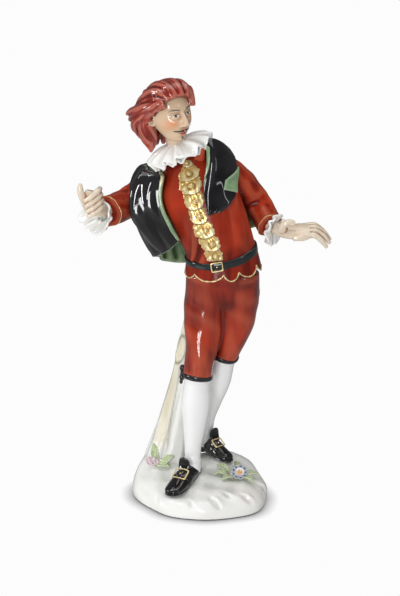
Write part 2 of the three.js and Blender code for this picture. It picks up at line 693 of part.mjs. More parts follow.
function sprigs() {
  return [
    bloom(-15.3, -4.2, 5),
    leaf(-14.2, -0.6, 0.3), leaf(-10.8, -2.4, 0.08), leaf(-10.8, -4.8, 0.95),
    bloom(14.6, -1.2, 6),
    leaf(10.6, 1.0, 0.38), leaf(9.6, -1.6, 0.53), leaf(11.2, -3.8, 0.67), leaf(17.8, -2.2, 0.94),
  ];
}

// Joining

// Draws the ends of each edge shorter than this together, where the skin stays whole and
// no face turns over.
function closeUp(points, faces, shortest) {
  const triangles = [];
  for (let i = 0; i < faces.length; i += 3) triangles.push(faces.slice(i, i + 3));
  const around = points.map(() => new Set());
  triangles.forEach((triangle, f) => triangle.forEach((v) => around[v].add(f)));
  const near = (v) => new Set([...around[v]].flatMap((f) => triangles[f]));
  const normal = ([a, b, c]) => points[b].clone().sub(points[a]).cross(points[c].clone().sub(points[a]));
  const holds = (keep, drop) => {
    const others = near(drop);
    const shared = [...near(keep)].filter((v) => v !== keep && v !== drop && others.has(v));
    if (shared.length !== 2) return false;
    return [...around[drop]].every((f) => {
      if (triangles[f].includes(keep)) return true;
      const before = normal(triangles[f]);
      const after = normal(triangles[f].map((v) => (v === drop ? keep : v)));
      return before.length() < 1e-5 || before.dot(after) > 0.6 * before.length() * after.length();
    });
  };
  for (let again = true; again; ) {
    again = false;
    triangles.forEach((triangle, f) => {
      for (let k = 0; triangles[f] !== null && k < 3; k += 1) {
        const [keep, drop] = [triangle[k], triangle[(k + 1) % 3]];
        if (points[keep].distanceTo(points[drop]) >= shortest || !holds(keep, drop)) continue;
        for (const g of [...around[drop]]) {
          if (triangles[g].includes(keep)) {
            triangles[g].forEach((v) => around[v].delete(g));
            triangles[g] = null;
          } else {
            triangles[g].splice(triangles[g].indexOf(drop), 1, keep);
            around[keep].add(g);
          }
        }
        around[drop].clear();
        again = true;
      }
    });
  }
  return triangles.filter((triangle) => triangle !== null).flat();
}

// The outer skin of the joined forms. The fired piece is solid, so pockets that its forms
// shut in between them are filled.

function outside(manifold) {
  const { numProp, vertProperties, triVerts } = manifold.getMesh();
  const place = (i) => new THREE.Vector3().fromArray(vertProperties, i * numProp);
  const parent = Array.from({ length: vertProperties.length / numProp }, (_, i) => i);
  const find = (i) => {
    let top = i;
    while (parent[top] !== top) top = parent[top];
    while (parent[i] !== top) [parent[i], i] = [top, parent[i]];
    return top;
  };
  for (let i = 0; i < triVerts.length; i += 3) {
    parent[find(triVerts[i])] = find(triVerts[i + 1]);
    parent[find(triVerts[i + 1])] = find(triVerts[i + 2]);
  }
  const volume = new Map();
  for (let i = 0; i < triVerts.length; i += 3) {
    const [a, b, c] = [0, 1, 2].map((k) => place(triVerts[i + k]));
    const shell = find(triVerts[i]);
    volume.set(shell, (volume.get(shell) ?? 0) + a.dot(b.cross(c)) / 6);
  }
  const faces = [];
  for (let i = 0; i < triVerts.length; i += 3) {
    if (volume.get(find(triVerts[i])) > 0) faces.push(triVerts[i], triVerts[i + 1], triVerts[i + 2]);
  }
  const points = Array.from({ length: parent.length }, (_, i) => place(i));
  const kept = closeUp(points, faces, SHORTEST_EDGE);
  const used = [...new Set(kept)];
  const renumber = new Map(used.map((old, i) => [old, i]));
  return indexed(used.map((old) => points[old]), kept.map((old) => renumber.get(old)));
}

const pieces = [
  mound(), ...stump(), ...leg(LEGS.near), ...leg(LEGS.far),
  ...jacket(), ...placket(), ...arm(ARMS.right), ...arm(ARMS.left),
  ...collar(), ...head(), ...hair(),
  mantle(), mantleLeft(), ...sprigs(),
];
const whole = pieces.reduce((made, piece) => made.add(piece));

const glaze = new THREE.MeshStandardMaterial({ color: 0xf2f0ec, roughness: 0.15, metalness: 0 });
const figure = new THREE.Mesh(outside(whole), glaze);
figure.name = "figure";
const group = new THREE.Group();
group.add(figure);

export default group;
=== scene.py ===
"""A glazed porcelain figure of a comedy player in a red suit and a short lined cloak,
standing on a rocky mound before a tree stump. Pieces are drawn in millimetres."""

import math

import bpy
import numpy as np
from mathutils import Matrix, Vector


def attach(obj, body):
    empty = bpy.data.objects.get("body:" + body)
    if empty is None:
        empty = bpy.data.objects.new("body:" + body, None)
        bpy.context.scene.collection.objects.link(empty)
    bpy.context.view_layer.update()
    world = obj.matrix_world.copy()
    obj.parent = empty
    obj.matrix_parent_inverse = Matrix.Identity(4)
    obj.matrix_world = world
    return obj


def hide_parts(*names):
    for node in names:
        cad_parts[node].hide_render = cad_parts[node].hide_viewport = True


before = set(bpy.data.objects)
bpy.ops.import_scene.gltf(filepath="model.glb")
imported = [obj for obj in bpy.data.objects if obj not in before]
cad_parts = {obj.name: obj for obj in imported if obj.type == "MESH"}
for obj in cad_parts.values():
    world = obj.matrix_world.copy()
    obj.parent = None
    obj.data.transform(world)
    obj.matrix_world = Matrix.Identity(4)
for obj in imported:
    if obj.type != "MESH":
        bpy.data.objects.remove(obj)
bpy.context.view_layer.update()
scene = bpy.context.scene

# THE ROCKWORK
# A mound of white porcelain with a stump rising from it, pressed in a mould and luted
# together with slip. Its underside is flat, and soft flutes are tooled round its front.

MM = 0.001
TURN = 2 * math.pi
FRONT = -TURN / 4
UP = np.array([0.0, 0.0, 1.0])


def unit(v):
    v = np.asarray(v, float)
    return v / np.linalg.norm(v, axis=-1, keepdims=True)


def bell(distance, width=1.0):
    return np.exp(-((distance / width) ** 2))


def ease(v):
    c = np.clip(v, 0, 1)
    return c * c * (3 - 2 * c)


def along(rows, t):
    """Catmull-Rom through the rows of a table, for an array of t from 0 to 1."""
    rows = np.asarray(rows, float)
    last = len(rows) - 1
    place = np.clip(t, 0, 1) * last
    i = np.minimum(place.astype(int), last - 1)
    f = (place - i)[..., None]
    p, q, r, s = (rows[np.clip(i + n, 0, last)] for n in (-1, 0, 1, 2))
    return q + 0.5 * f * (r - p + f * (2 * p - 5 * q + 4 * r - s + f * (3 * (q - r) + s - p)))


class Form:
    """A limb or body drawn as rows of [x, y, z, half width, half depth] along its length."""

    def __init__(self, rows, side=(1, 0, 0)):
        self.rows, self.side = np.array(rows, float), np.array(side, float)
        self.length = np.linalg.norm(np.diff(self.rows[:, :3], axis=0), axis=1).sum()

    def frame(self, t):
        t = np.asarray(t, float)
        row, small = along(self.rows, t), 0.05 / len(self.rows)
        run = unit((along(self.rows, t + small) - along(self.rows, t - small))[..., :3])
        across = unit(self.side - (run @ self.side)[..., None] * run)
        return row[..., :3], row[..., 3], row[..., 4], run, across, np.cross(run, across)

    def skin(self, t, angle, lift=0.0, swell=1.0):
        centre, wide, deep, _, across, back = self.frame(t)
        out = (wide * swell + lift)[..., None] * np.cos(angle)[..., None] * across
        return centre + out + (deep * swell + lift)[..., None] * np.sin(angle)[..., None] * back

    def locate(self, points, axis=2):
        """The t and angle of places near the form, read off at the same height."""
        t = np.linspace(0, 1, 400)
        reach = self.frame(t)[0][:, axis]
        order = np.argsort(reach)
        t = np.interp(points[:, axis], reach[order], t[order])
        centre, wide, deep, _, across, back = self.frame(t)
        away = points - centre
        return t, np.arctan2((away * back).sum(1) / deep, (away * across).sum(1) / wide)


def wrapped(angle):
    return (angle + TURN / 2) % TURN - TURN / 2


def rings(form, stops, sides, lift=0.0, swell=1.0):
    """Rings of places round a form. lift and swell are numbers or functions of (angle, t)."""
    t, angle = np.meshgrid(stops, TURN * np.arange(sides) / sides, indexing="ij")
    shaped = [value(angle, t) if callable(value) else value for value in (lift, swell)]
    return form.skin(t, angle, *shaped)


def weave(rows, columns, round_rows=False, round_columns=True):
    """The four-sided faces between neighbouring places of a grid."""
    index = np.arange(rows * columns).reshape(rows, columns)
    if round_rows:
        index = np.vstack([index, index[:1]])
    if round_columns:
        index = np.hstack([index, index[:, :1]])
    corners = [index[:-1, :-1], index[:-1, 1:], index[1:, 1:], index[1:, :-1]]
    return np.stack(corners, -1).reshape(-1, 4).tolist()


def facing_out(points, faces):
    """A closed skin with its faces turned to look outwards."""
    corners = points[np.array([face if len(face) == 4 else [*face, face[2]] for face in faces])]
    a, b, c, d = corners.transpose(1, 0, 2)
    volume = (a * (np.cross(b, c) + np.cross(c, d))).sum()
    return points, faces if volume > 0 else [face[::-1] for face in faces]


def plugged(grid):
    """A clay roll: the rings of a grid, shut with a fan at each end."""
    rows, columns = grid.shape[:2]
    points = np.vstack([grid.reshape(-1, 3), grid[0].mean(0), grid[-1].mean(0)])
    faces, size, last = weave(rows, columns), rows * columns, (rows - 1) * columns
    for a in range(columns):
        b = (a + 1) % columns
        faces += [[size, b, a], [size + 1, last + a, last + b]]
    return facing_out(points, faces)


def roll(rows, sides=24, steps=24, side=(1, 0, 0), lift=0.0, swell=1.0):
    return plugged(rings(Form(rows, side), np.linspace(0, 1, steps), sides, lift, swell))


def together(clays):
    points, faces, start = [], [], 0
    for some, skin in clays:
        points.append(some)
        faces += [[i + start for i in face] for face in skin]
        start += len(some)
    return np.vstack(points), faces


def luted(clays, grain, sponged=3):
    """Clays joined with slip into one closed skin of even grain, then sponged smooth."""
    points, faces = together(clays)
    mesh = bpy.data.meshes.new("clay")
    mesh.from_pydata(points.tolist(), [], faces)
    lump = bpy.data.objects.new("clay", mesh)
    scene.collection.objects.link(lump)
    press = lump.modifiers.new("press", "REMESH")
    press.mode, press.voxel_size = "VOXEL", grain
    sponge = lump.modifiers.new("sponge", "SMOOTH")
    sponge.factor, sponge.iterations = 0.5, sponged
    bpy.context.view_layer.update()
    skin = lump.evaluated_get(bpy.context.evaluated_depsgraph_get()).to_mesh()
    places = np.empty(len(skin.vertices) * 3)
    corners = np.empty(len(skin.loops), int)
    skin.vertices.foreach_get("co", places)
    skin.loops.foreach_get("vertex_index", corners)
    bpy.data.objects.remove(lump)
    bpy.data.meshes.remove(mesh)
    return places.reshape(-1, 3), corners.reshape(-1, 4).tolist()


def hollows(mesh, reach=10):
    """Per vertex: 1 in a crease and -1 on a ridge, from how far smoothing would move it."""
    count = len(mesh.vertices)
    edges = np.empty(len(mesh.edges) * 2, int)
    mesh.edges.foreach_get("vertices", edges)
    a, b = edges.reshape(-1, 2).T
    places, normals = np.empty(count * 3), np.empty(count * 3)
    mesh.vertices.foreach_get("co", places)
    mesh.vertices.foreach_get("normal", normals)
    places, normals = places.reshape(-1, 3), normals.reshape(-1, 3)
    degree = np.maximum(np.bincount(np.r_[a, b], minlength=count), 1)[:, None]

    def averaged(values):
        pairs = [(a, values[b]), (b, values[a])]
        sums = [[np.bincount(i, column, count) for column in v.T] for i, v in pairs]
        return np.transpose(np.add(*sums)) / degree

    smooth = places
    for _ in range(reach):
        smooth = averaged(smooth)
    depth = ((smooth - places) * normals).sum(1) / (0.1 * MM)
    return np.clip(averaged(depth[:, None])[:, 0], -1, 1)


def modelled(name, clay, material, **painted):
    """One piece of the figure as a mesh object, with its painted masks as attributes."""
    points, faces = clay
    mesh = bpy.data.meshes.new(name)
    mesh.from_pydata((points * MM).tolist(), [], faces)
    mesh.validate()
    mesh.shade_smooth()
    mesh.materials.append(material)
    for mask, values in dict(painted, hollow=hollows(mesh)).items():
        mesh.attributes.new(mask, "FLOAT", "POINT").data.foreach_set("value", np.float32(values))
    piece = bpy.data.objects.new(name, mesh)
    scene.collection.objects.link(piece)
    return piece


def enamel(red, green, blue):
    """A colour as a painter's chart gives it, 0 to 255, in the renderer's own scale."""
    chart = np.array([red, green, blue]) / 255
    linear = np.where(chart > 0.04045, ((chart + 0.055) / 1.055) ** 2.4, chart / 12.92)
    return (*linear.tolist(), 1.0)


def lay(tree, kind, sockets=(), **settings):
    """Adds a node. A socket takes a number, a colour or another node's output."""
    node = tree.nodes.new("ShaderNode" + kind)
    for name, value in settings.items():
        setattr(node, name, value)
    for name, value in dict(sockets).items():
        if isinstance(value, bpy.types.NodeSocket):
            tree.links.new(value, node.inputs[name])
        else:
            node.inputs[name].default_value = value
    return node


def blended(tree, share, under, over, how="MIX"):
    node = lay(tree, "Mix", {0: share, 6: under, 7: over}, data_type="RGBA", blend_type=how)
    return node.outputs[2]


def reckon(tree, how, *values):
    return lay(tree, "Math", dict(enumerate(values)), operation=how).outputs[0]


def mask(tree, name):
    return lay(tree, "Attribute", attribute_name=name).outputs["Fac"]


def spread(tree, value, low, high, start=0.0, end=1.0):
    sockets = {0: value, 1: low, 2: high, 3: start, 4: end}
    return lay(tree, "MapRange", sockets, interpolation_type="SMOOTHSTEP").outputs[0]


def effect(name, inputs, outputs):
    """An empty node group with named inputs and outputs, its places and its result node."""
    tree = bpy.data.node_groups.new(name, "ShaderNodeTree")
    for socket, kind, value in inputs:
        made = tree.interface.new_socket(socket, in_out="INPUT", socket_type=kind)
        made.default_value = value
    for socket, kind in outputs:
        tree.interface.new_socket(socket, in_out="OUTPUT", socket_type=kind)
    return tree, tree.nodes.new("NodeGroupInput").outputs, tree.nodes.new("NodeGroupOutput").inputs


NUMBER, COLOUR = "NodeSocketFloat", "NodeSocketColor"

# Glaze runs thin and thick as it melts: a slow swell in its surface and its gloss.
GLAZE, places, result = effect(
    "melted_glaze",
    [("Ripple", NUMBER, 260.0), ("Gloss", NUMBER, 0.08)],
    [("Height", NUMBER), ("Roughness", NUMBER)],
)
spot = lay(GLAZE, "TexCoord").outputs["Object"]
swell = lay(GLAZE, "TexNoise", {"Vector": spot, "Scale": places["Ripple"], "Detail": 2.0})
pits = lay(GLAZE, "TexNoise", {"Vector": spot, "Scale": 2400.0, "Detail": 3.0})
fine = reckon(GLAZE, "MULTIPLY", pits.outputs["Fac"], 0.015)
GLAZE.links.new(reckon(GLAZE, "ADD", swell.outputs["Fac"], fine), result["Height"])
dull = spread(GLAZE, pits.outputs["Fac"], 0.55, 0.8, 0.0, 0.06)
GLAZE.links.new(reckon(GLAZE, "ADD", places["Gloss"], dull), result["Roughness"])

# Colour that settles in the hollows and wears off the ridges,
# with painted shade in the hollows and a painted highlight on the ridges.
POOLED_SHADE_AND_ABRADED_SHEEN, places, result = effect(
    "pooled_shade_and_abraded_sheen_colour",
    [("Base", COLOUR, (1, 1, 1, 1)), ("Deep", COLOUR, (0.5, 0.5, 0.5, 1)),
     ("Abraded_And_Sheen", COLOUR, (1, 1, 1, 1)), ("Depth", NUMBER, 0.7), ("Abrasion_And_Sheen", NUMBER, 0.3)],
    [("Color", COLOUR)],
)
# Painted shade: the hollows take the deep colour. Painted highlight: the ridges take the abraded colour.
hollow = mask(POOLED_SHADE_AND_ABRADED_SHEEN, "hollow")
sunk = reckon(POOLED_SHADE_AND_ABRADED_SHEEN, "MULTIPLY", spread(POOLED_SHADE_AND_ABRADED_SHEEN, hollow, 0.05, 0.8), places["Depth"])
ridge = spread(POOLED_SHADE_AND_ABRADED_SHEEN, reckon(POOLED_SHADE_AND_ABRADED_SHEEN, "MULTIPLY", hollow, -1.0), 0.15, 0.9)
abraded_and_sheen_share = reckon(POOLED_SHADE_AND_ABRADED_SHEEN, "MULTIPLY", ridge, places["Abrasion_And_Sheen"])
shaded = blended(POOLED_SHADE_AND_ABRADED_SHEEN, sunk, places["Base"], places["Deep"])
POOLED_SHADE_AND_ABRADED_SHEEN.links.new(blended(POOLED_SHADE_AND_ABRADED_SHEEN, abraded_and_sheen_share, shaded, places["Abraded_And_Sheen"]), result["Color"])


def fired(name, colour, gloss=0.08, ripple=260.0, swell=0.00005, metal=0.0, coat=0.6):
    """A fired material. colour(tree) gives the socket, or the flat start, of its colour."""
    made = bpy.data.materials.new(name)
    made.use_nodes = True
    tree = made.node_tree
    shader = tree.nodes["Principled BSDF"]
    glaze = lay(tree, "Group", node_tree=GLAZE)
    glaze.inputs["Ripple"].default_value, glaze.inputs["Gloss"].default_value = ripple, gloss
    bump = lay(tree, "Bump", {"Height": glaze.outputs["Height"], "Distance": swell})
    tree.links.new(bump.outputs[0], shader.inputs["Normal"])
    tree.links.new(glaze.outputs["Roughness"], shader.inputs["Roughness"])
    shader.inputs["IOR"].default_value = 1.5
    shader.inputs["Metallic"].default_value = metal
    shader.inputs["Coat Weight"].default_value = coat
    shader.inputs["Coat Roughness"].default_value = 0.03
    tree.links.new(colour(tree), shader.inputs["Base Color"])
    return made


# Pooled glaze with painted shade in the hollows, wear with a painted highlight on the ridges.
def pooled_shade_and_abraded_sheen(tree, base, deep, abraded_and_sheen=None, depth=0.7, abrasion_and_sheen=0.3):
    values = {"Base": base, "Deep": deep, "Abraded_And_Sheen": abraded_and_sheen or base, "Depth": depth, "Abrasion_And_Sheen": abrasion_and_sheen}
    return lay(tree, "Group", values, node_tree=POOLED_SHADE_AND_ABRADED_SHEEN).outputs[0]


def patches(tree, scale, low, high, detail=3.0, stretch=(1, 1, 1)):
    """Soft patches over the surface, from 0 to 1."""
    spot = lay(tree, "TexCoord").outputs["Object"]
    spot = lay(tree, "Mapping", {"Vector": spot, "Scale": stretch}).outputs[0]
    noise = lay(tree, "TexNoise", {"Vector": spot, "Scale": scale, "Detail": detail})
    return spread(tree, noise.outputs["Fac"], low, high)


BASE_WIDTH, BASE_DEPTH, BASE_RISE = 46.2, 45.6, 8.0
BASE_OUTLINE = [1.0, 0.94, 0.945, 1.015, 1.05, 1.09, 1.15, 1.08, 1.0, 0.98, 1.0, 1.0, 0.98, 0.97,
                0.98, 1.0, 1.0]  # share of the half size every 22.5 degrees, from the left side
MOUND_PROFILE = [[0, 0], [0.6, 0], [0.945, 0], [1, 0.2], [0.985, 0.52], [0.9, 0.85], [0.7, 1],
                 [0.35, 1], [0, 1]]
GOUGES = [(-98, 0.95, 0.8, 2.6), (-77, 0.95, 1.3, 3.4), (-50, 0.9, 1.0, 2.4), (-64, 1.35, 0.7, 1.8),
          (-20, 0.8, 0.6, 2.6), (-130, 0.8, 0.4, 2.6), (40, 0.7, 0.7, 3.2), (75, 0.7, 0.8, 3.2),
          (112, 0.7, 0.6, 3.2)]  # degrees, rise, depth and length


def mound_top(x, y):
    stump_foot = 7.5 * bell(np.hypot(x + 13, y - 8), 9) + 1.6 * bell(np.hypot(x - 15, y - 11), 9)
    far_foot = 3.9 * bell(np.hypot(x - 7, y - 6.5), 9.2)
    near_heel = 1.2 * bell(np.hypot(x, y + 6), 7)
    toe_slope = -1.6 * bell(np.hypot(x + 7, y + 18), 8)
    rock = 0.35 * np.sin(0.55 * x + 0.3 * y) * np.sin(0.4 * y - 0.25 * x + 1)
    warp = 2 * np.sin(0.35 * x) + 1.5 * np.sin(0.3 * y + 1)
    rock = rock + 0.1 * np.abs(np.sin(0.5 * x + 0.4 * y + warp)) * np.cos(0.5 * y - 0.2 * x)
    rock = rock + 0.025 * np.sin(1.9 * x + 3.1 * y + warp) * bell(np.hypot(x - 4, y + 4), 13)
    return BASE_RISE + stump_foot + far_foot + near_heel + toe_slope + rock


def mound():
    v, angle = np.meshgrid(np.linspace(0, 1, 130), TURN * np.arange(340) / 340, indexing="ij")
    profile = along(MOUND_PROFILE, v)
    reach, rise = profile[..., 0], np.clip(profile[..., 1], 0, 1)
    outline = along(np.array(BASE_OUTLINE)[:, None], (angle / TURN + 0.5) % 1)[..., 0]
    outline += 0.014 * np.sin(9 * angle + 1.2 + 2 * rise) * np.sin(TURN / 2 * np.clip(rise, 0.08, 1))
    x = BASE_WIDTH / 2 * reach * outline * np.cos(angle)
    y = BASE_DEPTH / 2 * reach * outline * np.sin(angle)
    z = rise * mound_top(x, y)
    cut = 0 * z
    for place, level, depth, long in GOUGES:
        beside = wrapped(angle - math.radians(place)) * BASE_WIDTH / 2
        above = (rise - level) * BASE_RISE + (1 - reach) * BASE_DEPTH / 2
        down, over = 0.35 * beside - 0.94 * above, 0.94 * beside + 0.35 * above
        scoop = bell(down, long) * (bell(over, 0.85) - 0.7 * bell(over - 1.5, 0.6))
        cut += depth * scoop * ease(rise / 0.3)
    return plugged(np.stack([x - cut * np.cos(angle), y - cut * np.sin(angle), z - 0.8 * cut], -1)[1:-1])


STUMP = Form([
    [-11.4, 7, 4, 9.4, 9.4], [-11.0, 7, 10, 8.0, 8.0], [-9.6, 7.6, 17, 6.9, 6.4],
    [-7.5, 7.8, 28, 5.4, 5.2], [-4.9, 7.4, 40, 4.5, 4.6], [-2.8, 6.6, 52, 3.9, 4.0],
    [-0.4, 5.4, 65, 3.4, 3.4],
])
KNOT = (0.82, -TURN * 0.385)


def knot_distance(angle, t):
    return np.hypot((t - KNOT[0]) / 0.062, wrapped(angle - KNOT[1]) / 0.45)


def bark(angle, t):
    away = knot_distance(angle, t)
    ribs = 0.4 * np.sin(5 * angle + 3 * t) + 0.2 * np.sin(11 * angle - 5 * t + 1)
    grooves = 0.16 * np.abs(np.sin(12 * angle + 6 * t + 1.5 * np.sin(14 * t))) * ease((t - 0.15) / 0.2)
    return (ribs + grooves) * ease(away - 0.6) + 0.8 * bell(away - 1, 0.3) - 0.9 * bell(away, 0.7)


trunk = plugged(rings(STUMP, np.linspace(0, 1, 200), 150, bark))
rock = luted([mound(), trunk], 0.52, 3)
rock[0][:, 2] = np.maximum(rock[0][:, 2], 0)
spots = rock[0]
t, angle = STUMP.locate(spots)
on_stump = ease((spots[:, 2] - 14) / 6) * (np.hypot(*(spots - STUMP.frame(t)[0])[:, :2].T) < 9)
ring = knot_distance(angle, t)
from_strip = np.abs(wrapped(angle + TURN * (0.42 - 0.16 * (0.8 - t))))
strip = bell(from_strip, 0.34)
scored = 0.6 * bell(from_strip - 0.42, 0.06) * ease((t - 0.2) / 0.2) * ease((0.76 - t) / 0.05)
scored = scored + 0.9 * bell(wrapped(angle - 2.95), 0.07) * ease((t - 0.66) / 0.08)

PORCELAIN, POOLED_GLAZE_AND_SHADE_GREY = enamel(234, 234, 230), enamel(188, 191, 186)
BLUSH, CREAM, OLIVE, BARK_TAN = (
    enamel(240, 218, 204), enamel(234, 226, 200), enamel(120, 124, 84), enamel(200, 184, 144))


def rock_colour(tree):
    # Painted shade greys the hollows, with pooled glaze, and a painted highlight whitens the ridges.
    white = pooled_shade_and_abraded_sheen(tree, PORCELAIN, POOLED_GLAZE_AND_SHADE_GREY, enamel(244, 244, 241), 0.4, 0.5)
    blush = reckon(tree, "MULTIPLY", patches(tree, 75, 0.56, 0.74), 0.25)
    tinted = blended(tree, blush, white, BLUSH)
    streaks = patches(tree, 240, 0.35, 0.65, 4.0, (1, 1, 0.16))
    cream = blended(tree, reckon(tree, "MULTIPLY", streaks, 0.75), CREAM, BARK_TAN)
    barked = blended(tree, reckon(tree, "MULTIPLY", mask(tree, "bark"), 0.75), tinted, cream)
    lined = blended(tree, mask(tree, "scored"), barked, OLIVE)
    knotted = blended(tree, mask(tree, "knot"), lined, CREAM)
    return blended(tree, mask(tree, "knot_rim"), knotted, OLIVE)


white_rock = fired("white_rock", rock_colour, gloss=0.16, ripple=180, swell=0.00012, coat=0.2)
white_rock.node_tree.nodes["Principled BSDF"].inputs["Specular IOR Level"].default_value = 0.3
rockwork = modelled(
    "rockwork", rock, white_rock, scored=scored * on_stump,
    bark=strip * on_stump * ease((t - 0.2) / 0.15), knot=on_stump * bell(ring, 0.75),
    knot_rim=0.85 * on_stump * bell(ring - 1.02, 0.13))
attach(rockwork, "root")
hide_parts("figure")

# THE STOCKINGS
# The calves in white stockings, cast as plain tapering legs and left white under the
# glaze. They go up into the breeches and down into the shoes.

NEAR_LEG = Form([
    [3.2, -0.2, 79, 7.2, 8.4], [2.2, -0.6, 70, 6.7, 7.7], [1.6, -1.9, 61, 6.3, 6.8],
    [0.7, -3.9, 52, 5.0, 5.6], [-0.4, -4.8, 43, 4.4, 4.8], [-0.9, -4.2, 35, 5.0, 5.3],
    [-1.3, -4.4, 27, 4.0, 4.3], [-1.9, -5.2, 19, 2.9, 3.2], [-1.9, -5.8, 11, 2.8, 3.2],
])
FAR_LEG = Form([
    [12.6, 0.2, 79, 7.6, 8.4], [13.2, 0.4, 71.5, 7.1, 7.8], [12.6, 1.2, 64, 6.6, 7.0],
    [10.7, 2.5, 56, 5.4, 5.8], [8.4, 4.2, 48, 4.3, 4.7], [6.6, 5.8, 40, 4.5, 5.0],
    [4.4, 7.4, 32, 3.7, 4.1], [2.9, 8.9, 24, 2.6, 3.0], [2.6, 9.6, 15, 2.6, 3.0],
])
KNEE = 0.473  # how far down each leg its garter sits


def ankle_creases(angle, t):
    return 0.1 * ease((t - 0.86) / 0.08) * np.sin(150 * t + 1.5 * np.sin(angle)) - 0.05


def stocking_colour(tree):
    # Painted shade greys the hollows of the stockings, with pooled glaze.
    return pooled_shade_and_abraded_sheen(tree, enamel(238, 238, 238), enamel(200, 202, 206), depth=0.5)


stocking_white = fired("stocking_white", stocking_colour, gloss=0.08, ripple=120, coat=0.1)
stocking_white.node_tree.nodes["Principled BSDF"].inputs["Specular IOR Level"].default_value = 0.3
for name, leg in (("stocking_right", NEAR_LEG), ("stocking_left", FAR_LEG)):
    calf = rings(leg, np.linspace(KNEE - 0.02, 1, 130), 80, ankle_creases)
    stocking = modelled(name, plugged(calf), stocking_white)
    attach(stocking, "root")
    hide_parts("figure")

# THE BREECHES
# Knee breeches in iron-red enamel, brushed on over the glaze and fired again, so that the
# brush strokes show. Thighs and seat are one casting, gathered in at the garters.

TORSO = Form([
    [8.0, -0.2, 72, 11.2, 8.6], [8.2, -0.6, 79, 11.7, 9.4], [7.7, -1.0, 85, 11.6, 9.2],
    [6.4, -1.4, 91, 11.7, 9.4], [3.7, -1.6, 98, 12.1, 9.6], [0.8, -1.3, 105, 12.9, 9.3],
    [-2.0, -0.8, 112, 12.6, 8.0], [-4.2, -0.8, 117, 8.2, 5.6], [-5.4, -1.2, 119.5, 4.2, 4.2],
])


def breeches_folds(angle, t):
    gathers = 0.07 * np.sin(15 * angle + 2 * np.sin(3 * angle)) * ease((t - 0.4) / 0.07)
    drag = 0.2 * np.sin(3 * angle + 24 * t) * ease((t - 0.08) / 0.1)
    crotch = 0.2 * np.sin(46 * t + 2.4 * angle) * bell(t - 0.16, 0.08)
    return gathers + drag + crotch + 0.25 * ease((t - 0.3) / 0.12)


def thigh_ridge(angle, t):
    return 0.8 * bell(wrapped(angle - FRONT - 0.35), 0.55) * bell(t - 0.28, 0.16)


thighs = [plugged(rings(leg, np.linspace(0, KNEE + 0.006, 150), 130, folds, 1.02)) for leg, folds in (
    (NEAR_LEG, lambda angle, t: breeches_folds(angle, t) + thigh_ridge(angle, t)),
    (FAR_LEG, breeches_folds))]
seat = plugged(rings(TORSO, np.linspace(0.02, 0.2, 60), 120,
                     lambda angle, t: -0.9 - 7 * (1 - ease(t / 0.16)) ** 1.5))

# Thin enamel shows its brush strokes: light where it was wiped and dark where it pooled.
BRUSHED, places, result = effect(
    "brushed_enamel",
    [("Light", COLOUR, (1, 0, 0, 1)), ("Dark", COLOUR, (0.3, 0, 0, 1)),
     ("Stroke", NUMBER, 220.0), ("Strength", NUMBER, 0.8)],
    [("Color", COLOUR)],
)
spot = lay(BRUSHED, "TexCoord").outputs["Object"]
strokes = lay(BRUSHED, "Mapping", {"Vector": spot, "Scale": (1, 1, 0.22)}).outputs[0]
hairs = lay(BRUSHED, "TexNoise", {"Vector": strokes, "Scale": places["Stroke"], "Detail": 5.0})
wash = lay(BRUSHED, "TexNoise", {"Vector": spot, "Scale": 70.0, "Detail": 2.0})
stroke = spread(BRUSHED, hairs.outputs["Fac"], 0.38, 0.62)
pooled = spread(BRUSHED, wash.outputs["Fac"], 0.4, 0.6)
both = reckon(BRUSHED, "ADD", reckon(BRUSHED, "MULTIPLY", stroke, 0.45),
              reckon(BRUSHED, "MULTIPLY", pooled, 0.6))
amount = reckon(BRUSHED, "MULTIPLY", both, places["Strength"])
BRUSHED.links.new(blended(BRUSHED, amount, places["Light"], places["Dark"]), result["Color"])


def brushed(tree, light, dark, stroke=220.0, strength=0.8):
    values = {"Light": light, "Dark": dark, "Stroke": stroke, "Strength": strength}
    return lay(tree, "Group", values, node_tree=BRUSHED).outputs[0]


IRON_RED, DEEP_RED, ABRADED_AND_SHEEN_RED = enamel(172, 52, 27), enamel(98, 26, 19), enamel(196, 96, 66)


def red_colour(tree):
    washed = brushed(tree, IRON_RED, DEEP_RED, strength=0.92)
    # Painted shade darkens the red in the hollows and a painted highlight lightens its ridges, with pooled
    # and worn enamel.
    return pooled_shade_and_abraded_sheen(tree, washed, enamel(72, 18, 14), ABRADED_AND_SHEEN_RED, 0.65, 0.4)


iron_red = fired("iron_red_enamel", red_colour, gloss=0.12, coat=0.5)
gusset = roll([[8.0, -0.6, 82, 8.2, 7.6], [8.2, -0.7, 76, 7.0, 7.3], [8.4, -0.4, 71, 4.8, 6.0],
               [8.6, 0.2, 66.5, 2.6, 3.6], [8.7, 0.6, 63.5, 1.0, 1.6]], 60, 40)


def wiped(clay, centre, reach, times):
    """A clay rubbed smooth with a wet finger round one place."""
    points, faces = clay
    corners = np.array(faces)
    a, b = corners.ravel(), np.roll(corners, -1, 1).ravel()
    count = np.maximum(np.bincount(a, minlength=len(points)), 1)
    share = bell(np.linalg.norm((points - centre) / reach, axis=1))[:, None] * 0.9
    for _ in range(times):
        mean = np.stack([np.bincount(a, column[b], len(points)) for column in points.T], 1) / count[:, None]
        points = points + share * (mean - points)
    return points, faces


crotch_at, crotch_reach = np.array([8.6, -6.0, 75.0]), np.array([6.0, 5.0, 8.0])
breeches_clay = wiped(luted([*thighs, seat, gusset], 0.42, 7), crotch_at, crotch_reach, 35)
breeches = modelled("breeches", breeches_clay, iron_red)
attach(breeches, "root")
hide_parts("figure")

# THE GARTERS
# Black ribbon bands over the tops of the stockings, rolled from clay, with a small bow
# luted to the outside of the near knee. Painted black under a bright glaze.


